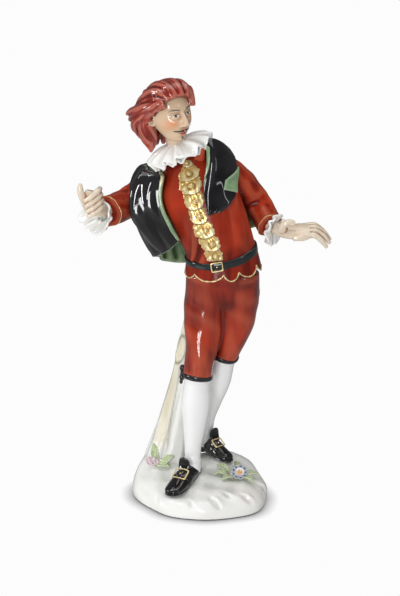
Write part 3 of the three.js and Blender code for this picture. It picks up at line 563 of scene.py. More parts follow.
def band(form, place, half, thick, sides=110, sag=0.0, centre=FRONT):
    """A strap round a form, with a rounded section, drooping by sag at its centre."""
    section = TURN * np.arange(18) / 18
    c, s = np.cos(section), np.sin(section)
    height = half * np.sign(c) * np.abs(c) ** 0.5
    lift = thick * np.sign(s) * np.abs(s) ** 0.5
    angle = TURN * np.arange(sides) / sides
    droop = sag * bell(wrapped(angle - centre), 1.2)
    t = place + (height[:, None] - droop[None]) / form.length
    grid = form.skin(t, np.broadcast_to(angle, t.shape), np.broadcast_to(lift[:, None], t.shape))
    return facing_out(grid.reshape(-1, 3), weave(len(section), sides, True))


def bead(centre, half, turn=None, sides=22, rows=14):
    """A ball of clay with half sizes along its own axes."""
    polar, angle = np.meshgrid(np.linspace(0.02, 0.98, rows) * TURN / 2,
                               TURN * np.arange(sides) / sides, indexing="ij")
    ball = np.stack([np.sin(polar) * np.cos(angle), np.sin(polar) * np.sin(angle),
                     -np.cos(polar)], -1) * half
    return plugged(ball @ (np.eye(3) if turn is None else turn) + centre)


def black_colour(tree):
    soft = blended(tree, patches(tree, 110, 0.35, 0.7), enamel(15, 15, 17), enamel(30, 29, 32))
    # Painted shade darkens the hollows of the black and a painted highlight lightens its ridges to grey.
    return pooled_shade_and_abraded_sheen(tree, soft, enamel(5, 5, 6), enamel(58, 56, 58), 0.6, 0.3)


black_enamel = fired("black_enamel", black_colour, gloss=0.05, ripple=200, swell=0.00006)
knee = NEAR_LEG.skin(np.array([KNEE]), np.array([math.pi * 1.04]), np.array([0.8]))[0]
bow = [bead(knee + shift, half) for shift, half in (
    ((0, 0, 1.6), (1.0, 1.0, 1.25)), ((-0.1, -0.2, 0), (0.75, 0.8, 0.8)),
    ((-0.2, -0.1, -1.5), (0.95, 1.0, 1.2)), ((-0.5, -0.6, -2.9), (0.6, 0.6, 0.9)))]
for name, clays in (
    ("garter_right", [band(NEAR_LEG, KNEE + 0.004, 0.75, 0.75, sag=-0.2), *bow]),
    ("garter_left", [band(FAR_LEG, KNEE + 0.004, 0.75, 0.7, sag=-0.2)]),
):
    garter = modelled(name, together(clays), black_enamel)
    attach(garter, "root")
    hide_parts("figure")

# THE SHOES
# Black shoes with a low heel, a high tongue and a strap over the instep, modelled by hand
# and luted under the ankles. The buckles are raised bars with burnished gilding.

HEEL_NEAR, TOE_NEAR = np.array([-1.2, -4.6, 9.4]), np.array([-9.3, -17.6, 6.9])
HEEL_FAR, TOE_FAR = np.array([1.2, 11.2, 13.6]), np.array([10.5, 1.2, 11.9])
BUCKLE_WIDTH, BUCKLE_HEIGHT, BUCKLE_BAR = 4.9, 3.6, 0.22


def shoe_last(heel, toe):
    """The upper as a form, with the directions ahead and to the side."""
    step = toe - heel
    ahead = unit([step[0], step[1], 0.0])
    side = np.cross(ahead, UP)
    table = [(-0.16, 1.5, 1.0, 1.1), (-0.08, 1.4, 2.1, 2.0), (0.12, 2.0, 2.8, 2.8),
             (0.34, 2.1, 3.1, 3.1), (0.58, 1.5, 3.4, 2.5), (0.8, 1.0, 3.4, 1.9),
             (0.96, 0.8, 2.8, 1.5), (1.04, 0.75, 1.5, 0.9)]
    rows = [[*(heel + step * share + UP * rise), wide, high] for share, rise, wide, high in table]
    return Form(rows, side), ahead, side


def frame_bar(half_wide, half_high, bar, place, right, up, bend, corner=5.0):
    """A buckle's rounded frame, its bar round in section, bent back over what it closes."""
    turn, section = np.meshgrid(TURN * np.arange(96) / 96, TURN * np.arange(12) / 12)
    c, s = np.cos(turn), np.sin(turn)
    reach = (np.abs(c) ** corner + np.abs(s) ** corner) ** (-1 / corner)
    x = reach * c * (half_wide + bar * np.cos(section))
    y = reach * s * (half_high + bar * np.cos(section))
    z = bar * np.sin(section) - bend * x**2
    out = np.cross(right, up)
    grid = place + x[..., None] * right + y[..., None] * up + z[..., None] * out
    return facing_out(grid.reshape(-1, 3), weave(*turn.shape, round_rows=True))


def buckle(place, right, up, wide=BUCKLE_WIDTH, high=BUCKLE_HEIGHT, bend=0.06):
    """The frame, with the small stud of its tongue in the middle."""
    bar = frame_bar(wide / 2, high / 2, BUCKLE_BAR, place, right, up, bend, 8.0)
    stud = bead(place - 0.1 * np.cross(right, up), (0.3, 0.3, 0.3), sides=14, rows=10)
    return together([bar, stud])


def gilt_colour(tree):
    gold = blended(tree, patches(tree, 420, 0.35, 0.7), enamel(236, 204, 132), enamel(212, 170, 92))
    # A painted highlight, from the facing's mask, lightens the gold to pale cream.
    gold = blended(tree, mask(tree, "painted_light"), gold, enamel(255, 242, 196))
    matt = blended(tree, reckon(tree, "MULTIPLY", mask(tree, "matt"), 0.9), gold, enamel(158, 126, 62))
    # Painted shade browns the hollows and a painted highlight lightens the ridges of the gold.
    return pooled_shade_and_abraded_sheen(tree, matt, enamel(112, 78, 36), enamel(255, 240, 190), 0.9, 0.6)


gilding = fired("burnished_gilding", gilt_colour, gloss=0.27, ripple=700, metal=0.5, coat=0.15)
for hand, heel, toe, slim in (("right", HEEL_NEAR, TOE_NEAR, 1), ("left", HEEL_FAR, TOE_FAR, 0.84)):
    last, ahead, side = shoe_last(heel, toe)
    last.rows[:, 3] *= slim
    tilt = unit(toe - heel)
    upper = plugged(rings(last, np.linspace(0, 1, 90), 72))
    step = toe - heel
    sole = roll([[*(heel + step * share + UP * 0.1), wide * slim, 0.45] for share, wide in (
        (-0.13, 1.6), (0.1, 2.6), (0.4, 2.8), (0.7, 3.6), (0.92, 3.3), (1.06, 1.6))], 40, 40, side=side)
    block = roll([[*(heel + step * 0.02 + UP * rise), wide, wide] for rise, wide in (
        (-1.6, 1.7), (0.0, 1.9), (1.4, 2.5))], 30, 12)
    root = last.skin(np.array([0.44]), np.array([FRONT]))[0]
    tongue = roll([
        [*(root + ahead * 1.4 - UP * 0.7), 1.9, 0.6], [*(root + UP * 0.7 + ahead * 0.7), 2.2, 0.6],
        [*(root + UP * 2.1 + ahead * 0.5), 2.2, 0.55], [*(root + UP * 3.3 + ahead * 0.8), 1.7, 0.5],
        [*(root + UP * 3.9 + ahead * 1.1), 0.8, 0.35]], 36, 30, side=side)
    shoe = modelled("shoe_" + hand, luted([upper, sole, block, tongue], 0.23, 2), black_enamel)
    strap_place = 0.53
    strap = band(last, strap_place, 0.95, 0.28, 120)
    strap_piece = modelled("shoe_strap_" + hand, strap, black_enamel)
    seat_at = last.skin(np.array([strap_place + 0.02]), np.array([FRONT]), np.array([0.55]))[0]
    lean = unit(ahead * 0.62 + UP * 0.8)
    up = unit(np.cross(lean, side))
    size = BUCKLE_WIDTH * slim, BUCKLE_HEIGHT * slim
    clasp = modelled("shoe_buckle_" + hand, buckle(seat_at, side, up, *size), gilding)
    for made in (shoe, strap_piece, clasp):
        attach(made, "root")
        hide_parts("figure")

# THE JACKET
# A close jacket in the same iron red. Body and sleeves are cast apart and luted at the
# shoulders; the short skirt below the belt is cut in scallops with a gilt edge.

BELT_AT, BELT_SAG, BELT_FRONT = 0.285, 2.2, FRONT - 0.14  # it hangs lowest under the facing
HEM_AT, SCALLOP = 0.128, 0.05
CUSPS = np.radians([-138, -89, -65, -27, 12, 50, 88, 126, 158, 188, 222])
SLEEVE_RIGHT = Form([
    [-6.5, 0.2, 114.5, 2.2, 2.2], [-10.8, 0.8, 111.8, 5.0, 5.2], [-15.5, 2.0, 108.5, 5.3, 5.6],
    [-20.4, 3.0, 104.4, 5.1, 5.2],
    [-24.2, 0.6, 102.4, 5.1, 5.0], [-27.2, -3.4, 101.6, 5.2, 5.0], [-29.8, -7.2, 101.4, 5.3, 5.0],
])
SLEEVE_LEFT = Form([
    [3.5, 0.4, 116.8, 2.0, 2.0], [8.4, 1.6, 113.6, 4.9, 4.8], [13.4, 4.0, 109.2, 5.1, 5.0],
    [18.4, 6.4, 103.4, 4.8, 4.8],
    [21.4, 4.6, 98.6, 4.5, 4.5], [23.9, -0.6, 95.2, 4.3, 4.3],
])


def jacket_folds(angle, t):
    front = wrapped(angle - FRONT)
    drag = 0.55 * bell(front + 0.95 - 2.6 * (t - 0.3), 0.13) * bell(t - 0.37, 0.13)
    pinch = -0.45 * bell(front + 0.78 - 2.6 * (t - 0.3), 0.12) * bell(t - 0.36, 0.12)
    waist = 0.16 * np.sin(9 * angle + 8 * t) * bell(t - 0.28, 0.1)
    chest = (0.2 * np.sin(4 * angle + 9 * t) + 0.14 * np.sin(9 * angle - 21 * t)) * bell(t - 0.6, 0.22)
    hug = 0.12 * np.sin(26 * t + 2.5 * np.sin(2 * angle + 1))
    return drag + pinch + waist + chest + hug


def sleeve_folds(angle, t):
    elbow = 0.16 * np.sin(34 * t + 1.6 * np.sin(angle)) * bell(t - 0.55, 0.2)
    return elbow + 0.22 * np.sin(3 * angle + 9 * t) + 0.1 * np.sin(7 * angle - 12 * t)


def hem_at(angle):
    """How high the scalloped hem runs, as a place along the body, and its share of a lobe."""
    lap = (angle - CUSPS[0]) % TURN + CUSPS[0]
    n = np.clip(np.searchsorted(CUSPS, lap, side="right") - 1, 0, len(CUSPS) - 2)
    share = (lap - CUSPS[n]) / (CUSPS[n + 1] - CUSPS[n])
    lobe = np.sin(TURN / 2 * np.clip(share, 0, 1)) ** 0.6
    return HEM_AT + SCALLOP * (1 - lobe) + 0.018 * ease(np.cos(angle)), lobe


def skirt(rows=30, sides=340):
    angle = TURN * np.arange(sides) / sides
    hem, lobe = hem_at(angle)
    v = np.r_[np.linspace(0, 1, rows), np.linspace(1, 0.2, rows // 2)][:, None]
    inside = np.r_[np.zeros(rows), ease(np.linspace(0.2, 6, rows // 2))][:, None]
    top = BELT_AT - BELT_SAG / TORSO.length * bell(wrapped(angle - BELT_FRONT), 1.2)
    t = top + (hem - top) * v
    lift = 0.4 + (0.45 + 0.3 * lobe) * v - 0.9 * inside
    lift = lift + 0.1 * np.sin(14 * angle + 2 * np.sin(3 * angle)) * v
    return plugged(TORSO.skin(t, np.broadcast_to(angle, t.shape), lift))


body = plugged(rings(TORSO, np.linspace(0.2, 1, 180), 200, jacket_folds))
collar = roll([[0.2, -7.4, 118.6, 2.0, 0.8], [0.9, -8.4, 121.0, 1.4, 0.6], [1.4, -9.2, 122.8, 0.7, 0.4],
               [1.7, -9.6, 123.9, 0.2, 0.2]], 30, 24)
arms = [plugged(rings(sleeve, np.linspace(0, 1, 110), 110, sleeve_folds))
        for sleeve in (SLEEVE_RIGHT, SLEEVE_LEFT)]


def jacket_colour(tree):
    # A painted pool of light brightens the red on the breast, where the ruff and the cloak shade it.
    painted_light = reckon(tree, "MULTIPLY", mask(tree, "thinly_laid"), 0.6)
    return blended(tree, painted_light, red_colour(tree), enamel(190, 56, 28))


satin_red = fired("jacket_red_enamel", jacket_colour, gloss=0.24, coat=0.05)
satin_red.node_tree.nodes["Principled BSDF"].inputs["Specular IOR Level"].default_value = 0.2
jacket_clay = luted([body, collar, *arms], 0.42, 2)
# Where the painted pool of light on the breast lies.
on_breast = bell(np.linalg.norm((jacket_clay[0] - (-9.0, -8.0, 106.0)) / (6, 6, 11), axis=1))
jacket = modelled("jacket", jacket_clay, satin_red, thinly_laid=on_breast)
jacket_skirt = modelled("jacket_skirt", skirt(), satin_red)


def cord_round(points, half, sides=10, shut=True, beside=UP):
    """A thin roll of clay along a line of places, closed on itself or plugged at its ends."""
    points = np.asarray(points, float)
    ahead = np.roll(points, -1, 0) if shut else np.vstack([points[1:], points[-1:]])
    behind = np.roll(points, 1, 0) if shut else np.vstack([points[:1], points[:-1]])
    run = unit(ahead - behind)
    across = unit(np.cross(run, beside) + 1e-6)
    out = np.cross(across, run)
    turn = TURN * np.arange(sides) / sides
    size = np.broadcast_to(np.asarray(half, float), (len(points), 2))[:, None]
    ring = size[..., :1] * np.cos(turn)[None, :, None] * across[:, None]
    grid = points[:, None] + ring + size[..., 1:] * np.sin(turn)[None, :, None] * out[:, None]
    if shut:
        return facing_out(grid.reshape(-1, 3), weave(*grid.shape[:2], round_rows=True))
    return plugged(grid)


angle = TURN * np.arange(500) / 500
hem, lobe = hem_at(angle)
ripple = 0.1 * np.sin(14 * angle + 2 * np.sin(3 * angle))
hem_line = TORSO.skin(hem + 0.005, angle, 0.82 + 0.3 * lobe + ripple)
uneven = 0.21 + 0.05 * np.sin(37 * angle) + 0.03 * np.sin(91 * angle)
edges = [cord_round(hem_line, np.stack([uneven, uneven], 1))]
for sleeve in (SLEEVE_RIGHT, SLEEVE_LEFT):
    t = np.full(140, 0.978)
    turn = TURN * np.arange(140) / 140
    edges.append(cord_round(sleeve.skin(t, turn, sleeve_folds(turn, t) + 0.02), 0.11))
jacket_edging = modelled("jacket_gilt_edge", together(edges), gilding)
for made in (jacket, jacket_skirt, jacket_edging):
    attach(made, "root")
    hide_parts("figure")

# THE BELT
# A broad black belt laid round the waist as a strip of clay, painted blue-black, with a
# square gilt clasp in front.

BELT_WIDTH, BELT_THICK = 2.7, 0.7


def belt_colour(tree):
    soft = blended(tree, patches(tree, 160, 0.35, 0.7), enamel(9, 12, 12), enamel(17, 22, 22))
    # Painted shade darkens the hollows and a painted highlight lightens the ridges of the belt.
    return pooled_shade_and_abraded_sheen(tree, soft, enamel(5, 7, 8), enamel(60, 72, 74), 0.6, 0.25)


belt = modelled("belt", band(TORSO, BELT_AT, BELT_WIDTH / 2, BELT_THICK, 300, BELT_SAG, BELT_FRONT),
                fired("belt_black", belt_colour, gloss=0.1))
clasp_at = TORSO.skin(np.array([BELT_AT - BELT_SAG / TORSO.length]), np.array([BELT_FRONT]),
                      np.array([BELT_THICK * 1.1]))[0]
clasp_right = unit([0.97, 0.0, 0.16])
clasp_up = unit(np.cross([0, -1.0, 0], clasp_right))
belt_clasp = modelled("belt_clasp", buckle(clasp_at, clasp_right, clasp_up, 3.7, 2.9, 0.03), gilding)
for made in (belt, belt_clasp):
    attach(made, "root")
    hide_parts("figure")

# THE GILT FRONT
# The jacket's facing: a strip of clay cut into overlapping scales with a ragged edge, one
# to each of the eight round buttons. It is gilded, and left matt round the buttons, with a
# painted highlight on the lower part of each scale.

BUTTONS, BUTTON_RADIUS = 8, 0.76
SCALES = [[2.6, 0.0], [4.2, 0.3], [3.7, 0.3], [3.2, 0.2], [2.8, 0.5], [3.5, 0.9], [3.5, 0.7],
          [3.0, 0.6]]  # half width of each scale, and how far it lies to the right side
FRONT_LINE = [[1.0, 0.26], [0.91, 0.12], [0.8, 0.0], [0.715, -0.08], [0.633, -0.14], [0.5575, -0.165],
              [0.481, -0.14], [0.402, -0.135], [0.319, -0.125], [0.24, -0.1]]


def front_line(share):
    """Where the facing runs, from the top button at 0 to the bottom one at 1."""
    t, lean = np.moveaxis(along(FRONT_LINE, (share * (BUTTONS - 1) + 1) / (BUTTONS + 1)), -1, 0)
    return t, FRONT + lean


def facing(rows=330, columns=58):
    """The strip, its matt patches and its painted highlights, each scale thickening down to its own curved
    edge.
    """
    share, u = np.meshgrid(np.linspace(-0.05, 1.06, rows), np.linspace(-1, 1, columns), indexing="ij")
    count = share * (BUTTONS - 1)
    scale = (count + 0.46 + 0.16 * u**2 - 0.1 * u) % 1
    wide, shift = np.moveaxis(along(SCALES, share), -1, 0)
    bulge = 0.8 + 0.2 * np.sin(TURN / 2 * np.clip(scale * 1.1 - 0.05, 0, 1)) ** 0.7
    ragged = 0.05 * np.sin(83 * share + 2 * u) + 0.04 * np.sin(151 * share - 3 * u + 1)
    half = wide / 12.2 * (bulge + ragged)
    ends = np.clip((1.06 - share) / 0.025, 0, 1) * np.clip((share + 0.05) / 0.03, 0, 1)
    t, centre = front_line(share)
    centre = centre - shift / 12.2
    tile = 0.5 * scale**1.5 * ease((1 - scale) / 0.1) + 0.12 * bell(u, 0.6)
    rim = np.sqrt(np.clip(1 - np.abs(u) ** 12, 0, 1)) * np.sqrt(ends)
    tooled = 0.05 * np.sin(40 * share + 9 * u) * np.sin(70 * share - 6 * u)
    lift = -0.2 + (0.5 + tile + tooled) * rim
    angle = centre + half * u
    front = TORSO.skin(t, angle, lift + jacket_folds(angle, t) * 0.6)
    rear = TORSO.skin(t, centre + half * u * 0.98, np.full(t.shape, -0.5))
    nearest = np.round(np.clip(count, 0, BUTTONS - 1)) / (BUTTONS - 1)
    away = np.hypot((share - nearest) * 31, (angle - front_line(nearest)[1]) * 12.2)
    matt = ease((1.45 + 0.12 * np.sin(5 * angle * 12) - away) / 0.2)
    matt = np.maximum(matt, ease((-0.02 - share) / 0.01))
    # A painted highlight in a ring round each button, on the lower part of each scale.
    painted_light = bell(away - 2.1 + 0.25 * np.sin(60 * share), 0.5) * ease((u + 0.75 + scale) / 0.8)
    clay = plugged(np.concatenate([front, rear[:, ::-1]], 1))
    masks = {"matt": matt, "painted_light": painted_light * ease((scale - 0.15) / 0.4)}
    return clay, {name: np.r_[np.concatenate([m, 0 * m], 1).ravel(), 0, 0] for name, m in masks.items()}


def buttons():
    for n in range(BUTTONS):
        t, angle = (np.array([value]) for value in front_line(np.float64(n / (BUTTONS - 1))))
        _, _, _, run, across, back = TORSO.frame(t)
        out = unit(np.cos(angle)[:, None] * across + np.sin(angle)[:, None] * back)[0]
        right = unit(np.cross(run[0], out))
        turn = np.stack([right, np.cross(out, right), out])
        place = TORSO.skin(t, angle, np.array([0.62]))[0]
        yield bead(place, (BUTTON_RADIUS, BUTTON_RADIUS, BUTTON_RADIUS), turn)
        yield frame_bar(0.86, 0.86, 0.1, place - 0.1 * out, right, np.cross(out, right), 0.0, 2.0)


facing_clay, facing_masks = facing()
gilt_front = modelled("gilt_front", facing_clay, gilding, **facing_masks)
gilt_buttons = modelled("gilt_buttons", together(list(buttons())), gilding)
for made in (gilt_front, gilt_buttons):
    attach(made, "root")
    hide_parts("figure")

# THE HANDS
# Bare hands, each modelled finger by finger and luted into the cuff. The right beckons
# with its fingers folded and its thumb up; the left lies open with its palm up.

PALM = (0.1, -0.88, -0.46)  # from the far edge of the open left palm to its near edge
HAND_RIGHT = [
    roll([[-28.4, -5.4, 101.8, 2.2, 2.2], [-32.2, -10.4, 102.4, 1.9, 2.1],
          [-34.2, -13.0, 104.2, 2.6, 2.3], [-34.4, -13.6, 107.0, 3.0, 2.2],
          [-33.8, -13.6, 109.6, 2.4, 1.6]], 40, 40),
    roll([[-35.6, -13.6, 105.2, 1.5, 1.4], [-37.4, -15.0, 108.2, 1.15, 1.1],
          [-37.9, -15.4, 110.8, 1.0, 0.95], [-37.7, -15.2, 112.4, 0.5, 0.5]], 24, 24),
]
HAND_LEFT = [
    roll([[22.4, 1.2, 96.2, 2.0, 2.0], [26.6, -3.0, 94.6, 2.3, 2.0], [30.0, -4.6, 94.3, 3.1, 1.75],
          [33.4, -5.2, 94.5, 3.6, 1.6], [36.5, -5.4, 94.8, 3.3, 1.25]], 48, 48, side=PALM),
    roll([[31.0, -7.6, 92.6, 1.0, 0.8], [34.0, -8.0, 92.9, 1.1, 0.9], [36.6, -7.8, 93.4, 0.7, 0.6]], 24, 24),
    roll([[27.4, -5.6, 94.8, 1.6, 1.4], [27.9, -6.8, 96.8, 1.25, 1.2],
          [29.7, -7.2, 98.0, 1.1, 1.0], [31.6, -7.4, 97.6, 0.7, 0.7]], 24, 24),
]


def finger(rows):
    """A finger with its two knuckles a little thicker than the rest."""
    return roll(rows, 24, 44, lift=lambda angle, t: 0.09 * bell(t - 0.36, 0.1) + 0.07 * bell(t - 0.7, 0.1))


for n in range(4):
    x, z = 0.25 * n, 1.8 * n
    HAND_RIGHT.append(finger([
        [x - 31.6, -13.0, 110.4 - z, 0.85, 0.85], [x - 32.4, -15.6, 109.9 - z, 0.9, 0.9],
        [x - 34.6, -16.6, 108.1 - z, 0.85, 0.85], [x - 36.6, -15.8, 106.7 - z, 0.6, 0.6]]))
    y, reach = 1.5 * n - 7.6, (-0.9, 0.2, 0.4, -0.4)[n]
    z = 0.5 * (y + 5.4) + (-0.3, 0.0, 0.1, -0.1)[n]
    HAND_LEFT.append(finger([
        [34.4, y, z + 94.8, 0.95, 1.1], [38.2 + reach * 0.4, y, z + 95.1, 0.9, 0.95],
        [41.0 + reach * 0.8, y, z + 93.4, 0.85, 0.85], [43.1 + reach, y + 0.1, z + 90.9, 0.6, 0.6]]))

FLESH, FLESH_DEEP, FLESH_ABRADED_AND_SHEEN = enamel(218, 202, 180), enamel(166, 112, 80), enamel(236, 224, 208)


def hand_colour(tree):
    warm = blended(tree, reckon(tree, "MULTIPLY", patches(tree, 260, 0.45, 0.75), 0.4),
                   FLESH, enamel(210, 170, 138))
    # Painted shade browns the creases of the hands and a painted highlight lightens their ridges.
    return pooled_shade_and_abraded_sheen(tree, warm, FLESH_DEEP, FLESH_ABRADED_AND_SHEEN, 0.9, 0.4)


hand_flesh = fired("hand_flesh", hand_colour, gloss=0.12)
for name, clays in (("hand_right", HAND_RIGHT), ("hand_left", HAND_LEFT)):
    hand = modelled(name, luted(clays, 0.2, 2), hand_flesh)
    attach(hand, "root")
    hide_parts("figure")

# THE CUFFS AND THE RUFF
# Frills of thin rolled clay, pleated between the fingers and luted on while wet. They are
# left white, and the grey in the pleats is pooled glaze and painted shade.


def basis(up, right=(1, 0, 0)):
    up = unit(up)
    right = unit(np.array(right, float) - np.dot(right, up) * up)
    return np.stack([right, np.cross(up, right), up])


def frill(centre, up, radius, pleats, depth, drop, thick=0.75, inner=0.28, rows=24,
          sides=380, lean=0.0, lead=(0, 0, 0)):
    """A pleated frill round up. At its edge it has fallen by drop and moved over by lead."""
    closing = 1 - (1 - inner) * np.linspace(1, 0, rows) ** 1.4  # rows lie closer towards the rim
    share, angle = np.meshgrid(closing, TURN * np.arange(sides) / sides, indexing="ij")
    drift = angle + 0.10 * np.sin(3 * angle + 0.5) + 0.05 * np.sin(7 * angle)
    wave = np.sin(pleats * drift + lean * share)
    wave = np.sign(wave) * np.abs(wave) ** 0.8 * (1 + 0.25 * np.sin(2 * angle + 1.1))
    small = 0.3 * np.sin(2.0 * pleats * drift + 1.3) * ease((share - 0.55) / 0.4)
    crinkle = 0.02 * ease((share - 0.7) / 0.3) * np.sin(5 * angle + 2)
    reach = radius * share * (1 + 0.035 * share * wave + crinkle)
    rise = -drop * share**2 + depth * (wave + small) * ease((share - inner * 0.6) / 0.75)
    flat = np.stack([reach * np.cos(angle), reach * np.sin(angle), rise], -1)
    middle = flat @ basis(up) + centre + (share**1.5)[..., None] * np.array(lead)
    down = np.gradient(middle, axis=0)
    over = np.roll(middle, -1, 1) - np.roll(middle, 1, 1)
    normal = unit(np.cross(down, over))
    from_rim = (1 - share) * radius
    half = thick / 2 * np.sqrt(np.clip(1 - np.clip(1 - from_rim / (thick / 2), 0, 1) ** 2, 0.02, 1))
    top, bottom = middle + normal * half[..., None], middle - normal * half[..., None]
    return plugged(np.concatenate([bottom, top[::-1]], 0))


def frill_colour(tree):
    # Painted shade greys the pleats, with pooled glaze, and a painted highlight whitens their ridges.
    return pooled_shade_and_abraded_sheen(tree, enamel(233, 233, 230), enamel(138, 145, 140), enamel(248, 248, 246), 0.9, 0.5)


lace_white = fired("frill_white", frill_colour, gloss=0.08, ripple=500)
RUFF_CENTRE, RUFF_UP = np.array([-7.3, -2.4, 123.9]), unit([-0.41, -0.04, 0.91])
CUFF_RIGHT, CUFF_RIGHT_UP = np.array([-30.3, -8.0, 101.5]), unit([-0.6, -0.78, 0.05])
CUFF_LEFT, CUFF_LEFT_UP = np.array([24.6, -1.9, 95.2]), unit([0.82, -0.52, -0.22])
neck_rows = [[-4.8, -1.0, 117, 4.2, 4.2], [-6.8, -2.2, 123, 3.6, 3.8], [-7.8, -2.4, 127.5, 3.4, 3.8]]
for name, clay in (
    ("cuff_right", frill(CUFF_RIGHT, CUFF_RIGHT_UP, 6.5, 8, 0.75, -1.9, 0.7, lead=(-2.4, -0.5, -0.5))),
    ("cuff_left", frill(CUFF_LEFT, CUFF_LEFT_UP, 5.4, 8, 0.7, -0.9, 0.75, lead=(0, 0, -0.7))),
    ("ruff", frill(RUFF_CENTRE, RUFF_UP, 11.2, 12, 1.2, 3.9, 0.85, lean=0.5)),
    ("ruff_under", frill(RUFF_CENTRE - RUFF_UP * 1.3, RUFF_UP, 10.2, 14, 0.8, 3.4, 0.7)),
):
    lace = modelled(name, clay, lace_white)
    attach(lace, "root")
    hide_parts("figure")

# THE HEAD
# A head of the workshop's own plain type, on the usual proportions: eyes half way up, and
# brow, nose and chin at even thirds. It is cast, tooled, and painted in flesh and black.

HEAD_HEIGHT = 18.8
HEAD_CENTRE = np.array([-9.3, -3.9, 133.3])
HEAD_AHEAD = unit([0.6, -0.8, 0.05])
HEAD_UP = np.array([-0.14, -0.02, 0.98])
HEAD_UP = unit(HEAD_UP - HEAD_UP @ HEAD_AHEAD * HEAD_AHEAD)
HEAD = np.stack([np.cross(HEAD_AHEAD, HEAD_UP), HEAD_AHEAD, HEAD_UP])  # right hand, ahead, up
EYE_X, EYE_HALF = 0.132, 0.066


def on_head(shares):
    """Places from shares of the head's height: to its right, ahead and up from its middle."""
    return np.asarray(shares, float) * HEAD_HEIGHT @ HEAD + HEAD_CENTRE


def lids(x):
    """Heights of the upper and the lower lid's edge, and how far along the eye x is."""
    q = (np.abs(x) - EYE_X) / EYE_HALF
    open_eye = np.clip(1 - q**2, 0, 1)
    return 0.004 + 0.027 * open_eye, 0.002 - 0.018 * open_eye, q


def relief(x, z):
    """How far the face stands out ahead of a plain oval."""
    wide = np.abs(x)
    top, bottom, q = lids(x)
    bridge = (0.03 + 0.085 * ease((0.07 - z) / 0.24)) * ease((0.1 - z) / 0.09)
    nose = bridge * bell(wide, 0.042 + 0.03 * ease((0.05 - z) / 0.22)) * ease((z + 0.215) / 0.035)
    nostrils = 0.05 * bell(wide - 0.058, 0.03) * bell(z + 0.172, 0.028)
    brow = 0.024 * bell(z - 0.095, 0.035) * bell(wide - 0.13, 0.12)
    sockets = -0.052 * bell(z - 0.012, 0.058) * bell(wide - 0.12, 0.085)
    globe = np.hypot((wide - EYE_X) / 1.25, z - 0.003)
    eyeball = 0.036 * np.sqrt(np.clip(1 - (globe / 0.058) ** 2, 0, 1))
    lid = 0.012 * (bell(z - top - 0.007, 0.008) + 0.7 * bell(z - bottom + 0.006, 0.008)) * bell(q, 1.0)
    cheeks = 0.03 * bell(z + 0.13, 0.09) * bell(wide - 0.17, 0.09)
    muzzle = 0.022 * bell(z + 0.3, 0.1) * bell(wide, 0.13)
    upper_lip = 0.024 * bell(z + 0.288, 0.02) * bell(wide, 0.075)
    lower_lip = 0.028 * bell(z + 0.345, 0.026) * bell(wide, 0.062)
    mouth = -0.024 * bell(z + 0.315, 0.009) * bell(wide, 0.085)
    fold = -0.014 * bell(z + 0.388, 0.02) * bell(wide, 0.06)
    groove = -0.007 * bell(wide, 0.014) * bell(z + 0.245, 0.03)
    chin = 0.05 * bell(z + 0.455, 0.06) * bell(wide, 0.09)
    return (nose + nostrils + brow + sockets + eyeball + lid + cheeks + muzzle + upper_lip
            + lower_lip + mouth + fold + groove + chin)


def skull(rows=220, sides=170):
    polar, step = np.meshgrid(np.linspace(0.008, 0.992, rows) * TURN / 2,
                              TURN * np.arange(sides) / sides, indexing="ij")
    angle = step + 0.45 * np.cos(step)
    dx, dy, dz = np.cos(angle) * np.sin(polar), np.sin(angle) * np.sin(polar), -np.cos(polar)
    low = ease(-dz)
    x, z = dx * 0.345 * (1 - 0.26 * low), dz * 0.5
    y = dy * np.where(dy > 0, 0.4 - 0.04 * low, 0.42 - 0.2 * low) + 0.05 * low
    y = y + np.where(dy > 0, relief(x, z) * ease(dy * 2.2), 0)
    return np.stack([x, y, z], -1)


def ear(hand, rows=20, sides=44):
    """A shell-shaped ear: a raised rim, a hollow and a small lobe."""
    r, turn = np.meshgrid(np.linspace(0.02, 1, rows), TURN * np.arange(sides) / sides, indexing="ij")
    ahead = -0.035 + 0.078 * r * np.cos(turn) * (1 + 0.15 * np.sin(turn))
    up = -0.035 + 0.125 * r * np.sin(turn)
    out = 0.325 + 0.045 * np.sqrt(np.clip(1 - r**6, 0, 1)) + 0.03 * bell(r - 0.8, 0.13)
    out = out - 0.04 * bell(r - 0.25, 0.3) - 0.03 * np.cos(turn) * r
    return plugged(on_head(np.stack([hand * out, ahead, up], -1)))


face = skull()
x, y, z = (face[..., k].ravel() for k in range(3))
ahead_of_ears = ease(y / 0.12)
wide = np.abs(x)
top, bottom, q = lids(x)
inside_eye = ease((top - z) / 0.006) * ease((z - bottom) / 0.006) * ease((1 - np.abs(q)) / 0.1)
iris = ease((0.028 - np.hypot(wide - EYE_X, z - 0.006)) / 0.006) * inside_eye
pupil = ease((0.013 - np.hypot(wide - EYE_X, z - 0.006)) / 0.005) * inside_eye
lash = bell(z - top - 0.003, 0.0075) * ease((1.12 - np.abs(q)) / 0.2)
lower_lash = 0.45 * bell(z - bottom + 0.002, 0.005) * ease((1.05 - np.abs(q)) / 0.3)
arch = 0.082 + 0.03 * (1 - ((wide - 0.15) / 0.1) ** 2)
brows = bell(z - arch, 0.013 - 0.004 * ease((wide - 0.15) / 0.1)) * ease((wide - 0.045) / 0.03)
brows = brows * ease((0.25 - wide) / 0.05)
curl = -0.262 + 1.9 * np.clip(wide - 0.075, 0, 1) ** 2 - 0.18 * np.clip(wide, 0, 0.075)
moustache = bell(z - curl, 0.019 - 0.06 * np.clip(wide - 0.03, 0, 0.16)) * ease((wide - 0.006) / 0.012)
moustache = moustache * ease((0.19 - wide) / 0.04)
tuft = bell(x, 0.02 - 0.06 * np.clip(-0.37 - z, 0, 0.2)) * ease((-0.365 - z) / 0.015)
tuft = tuft * ease((z + 0.44) / 0.03)
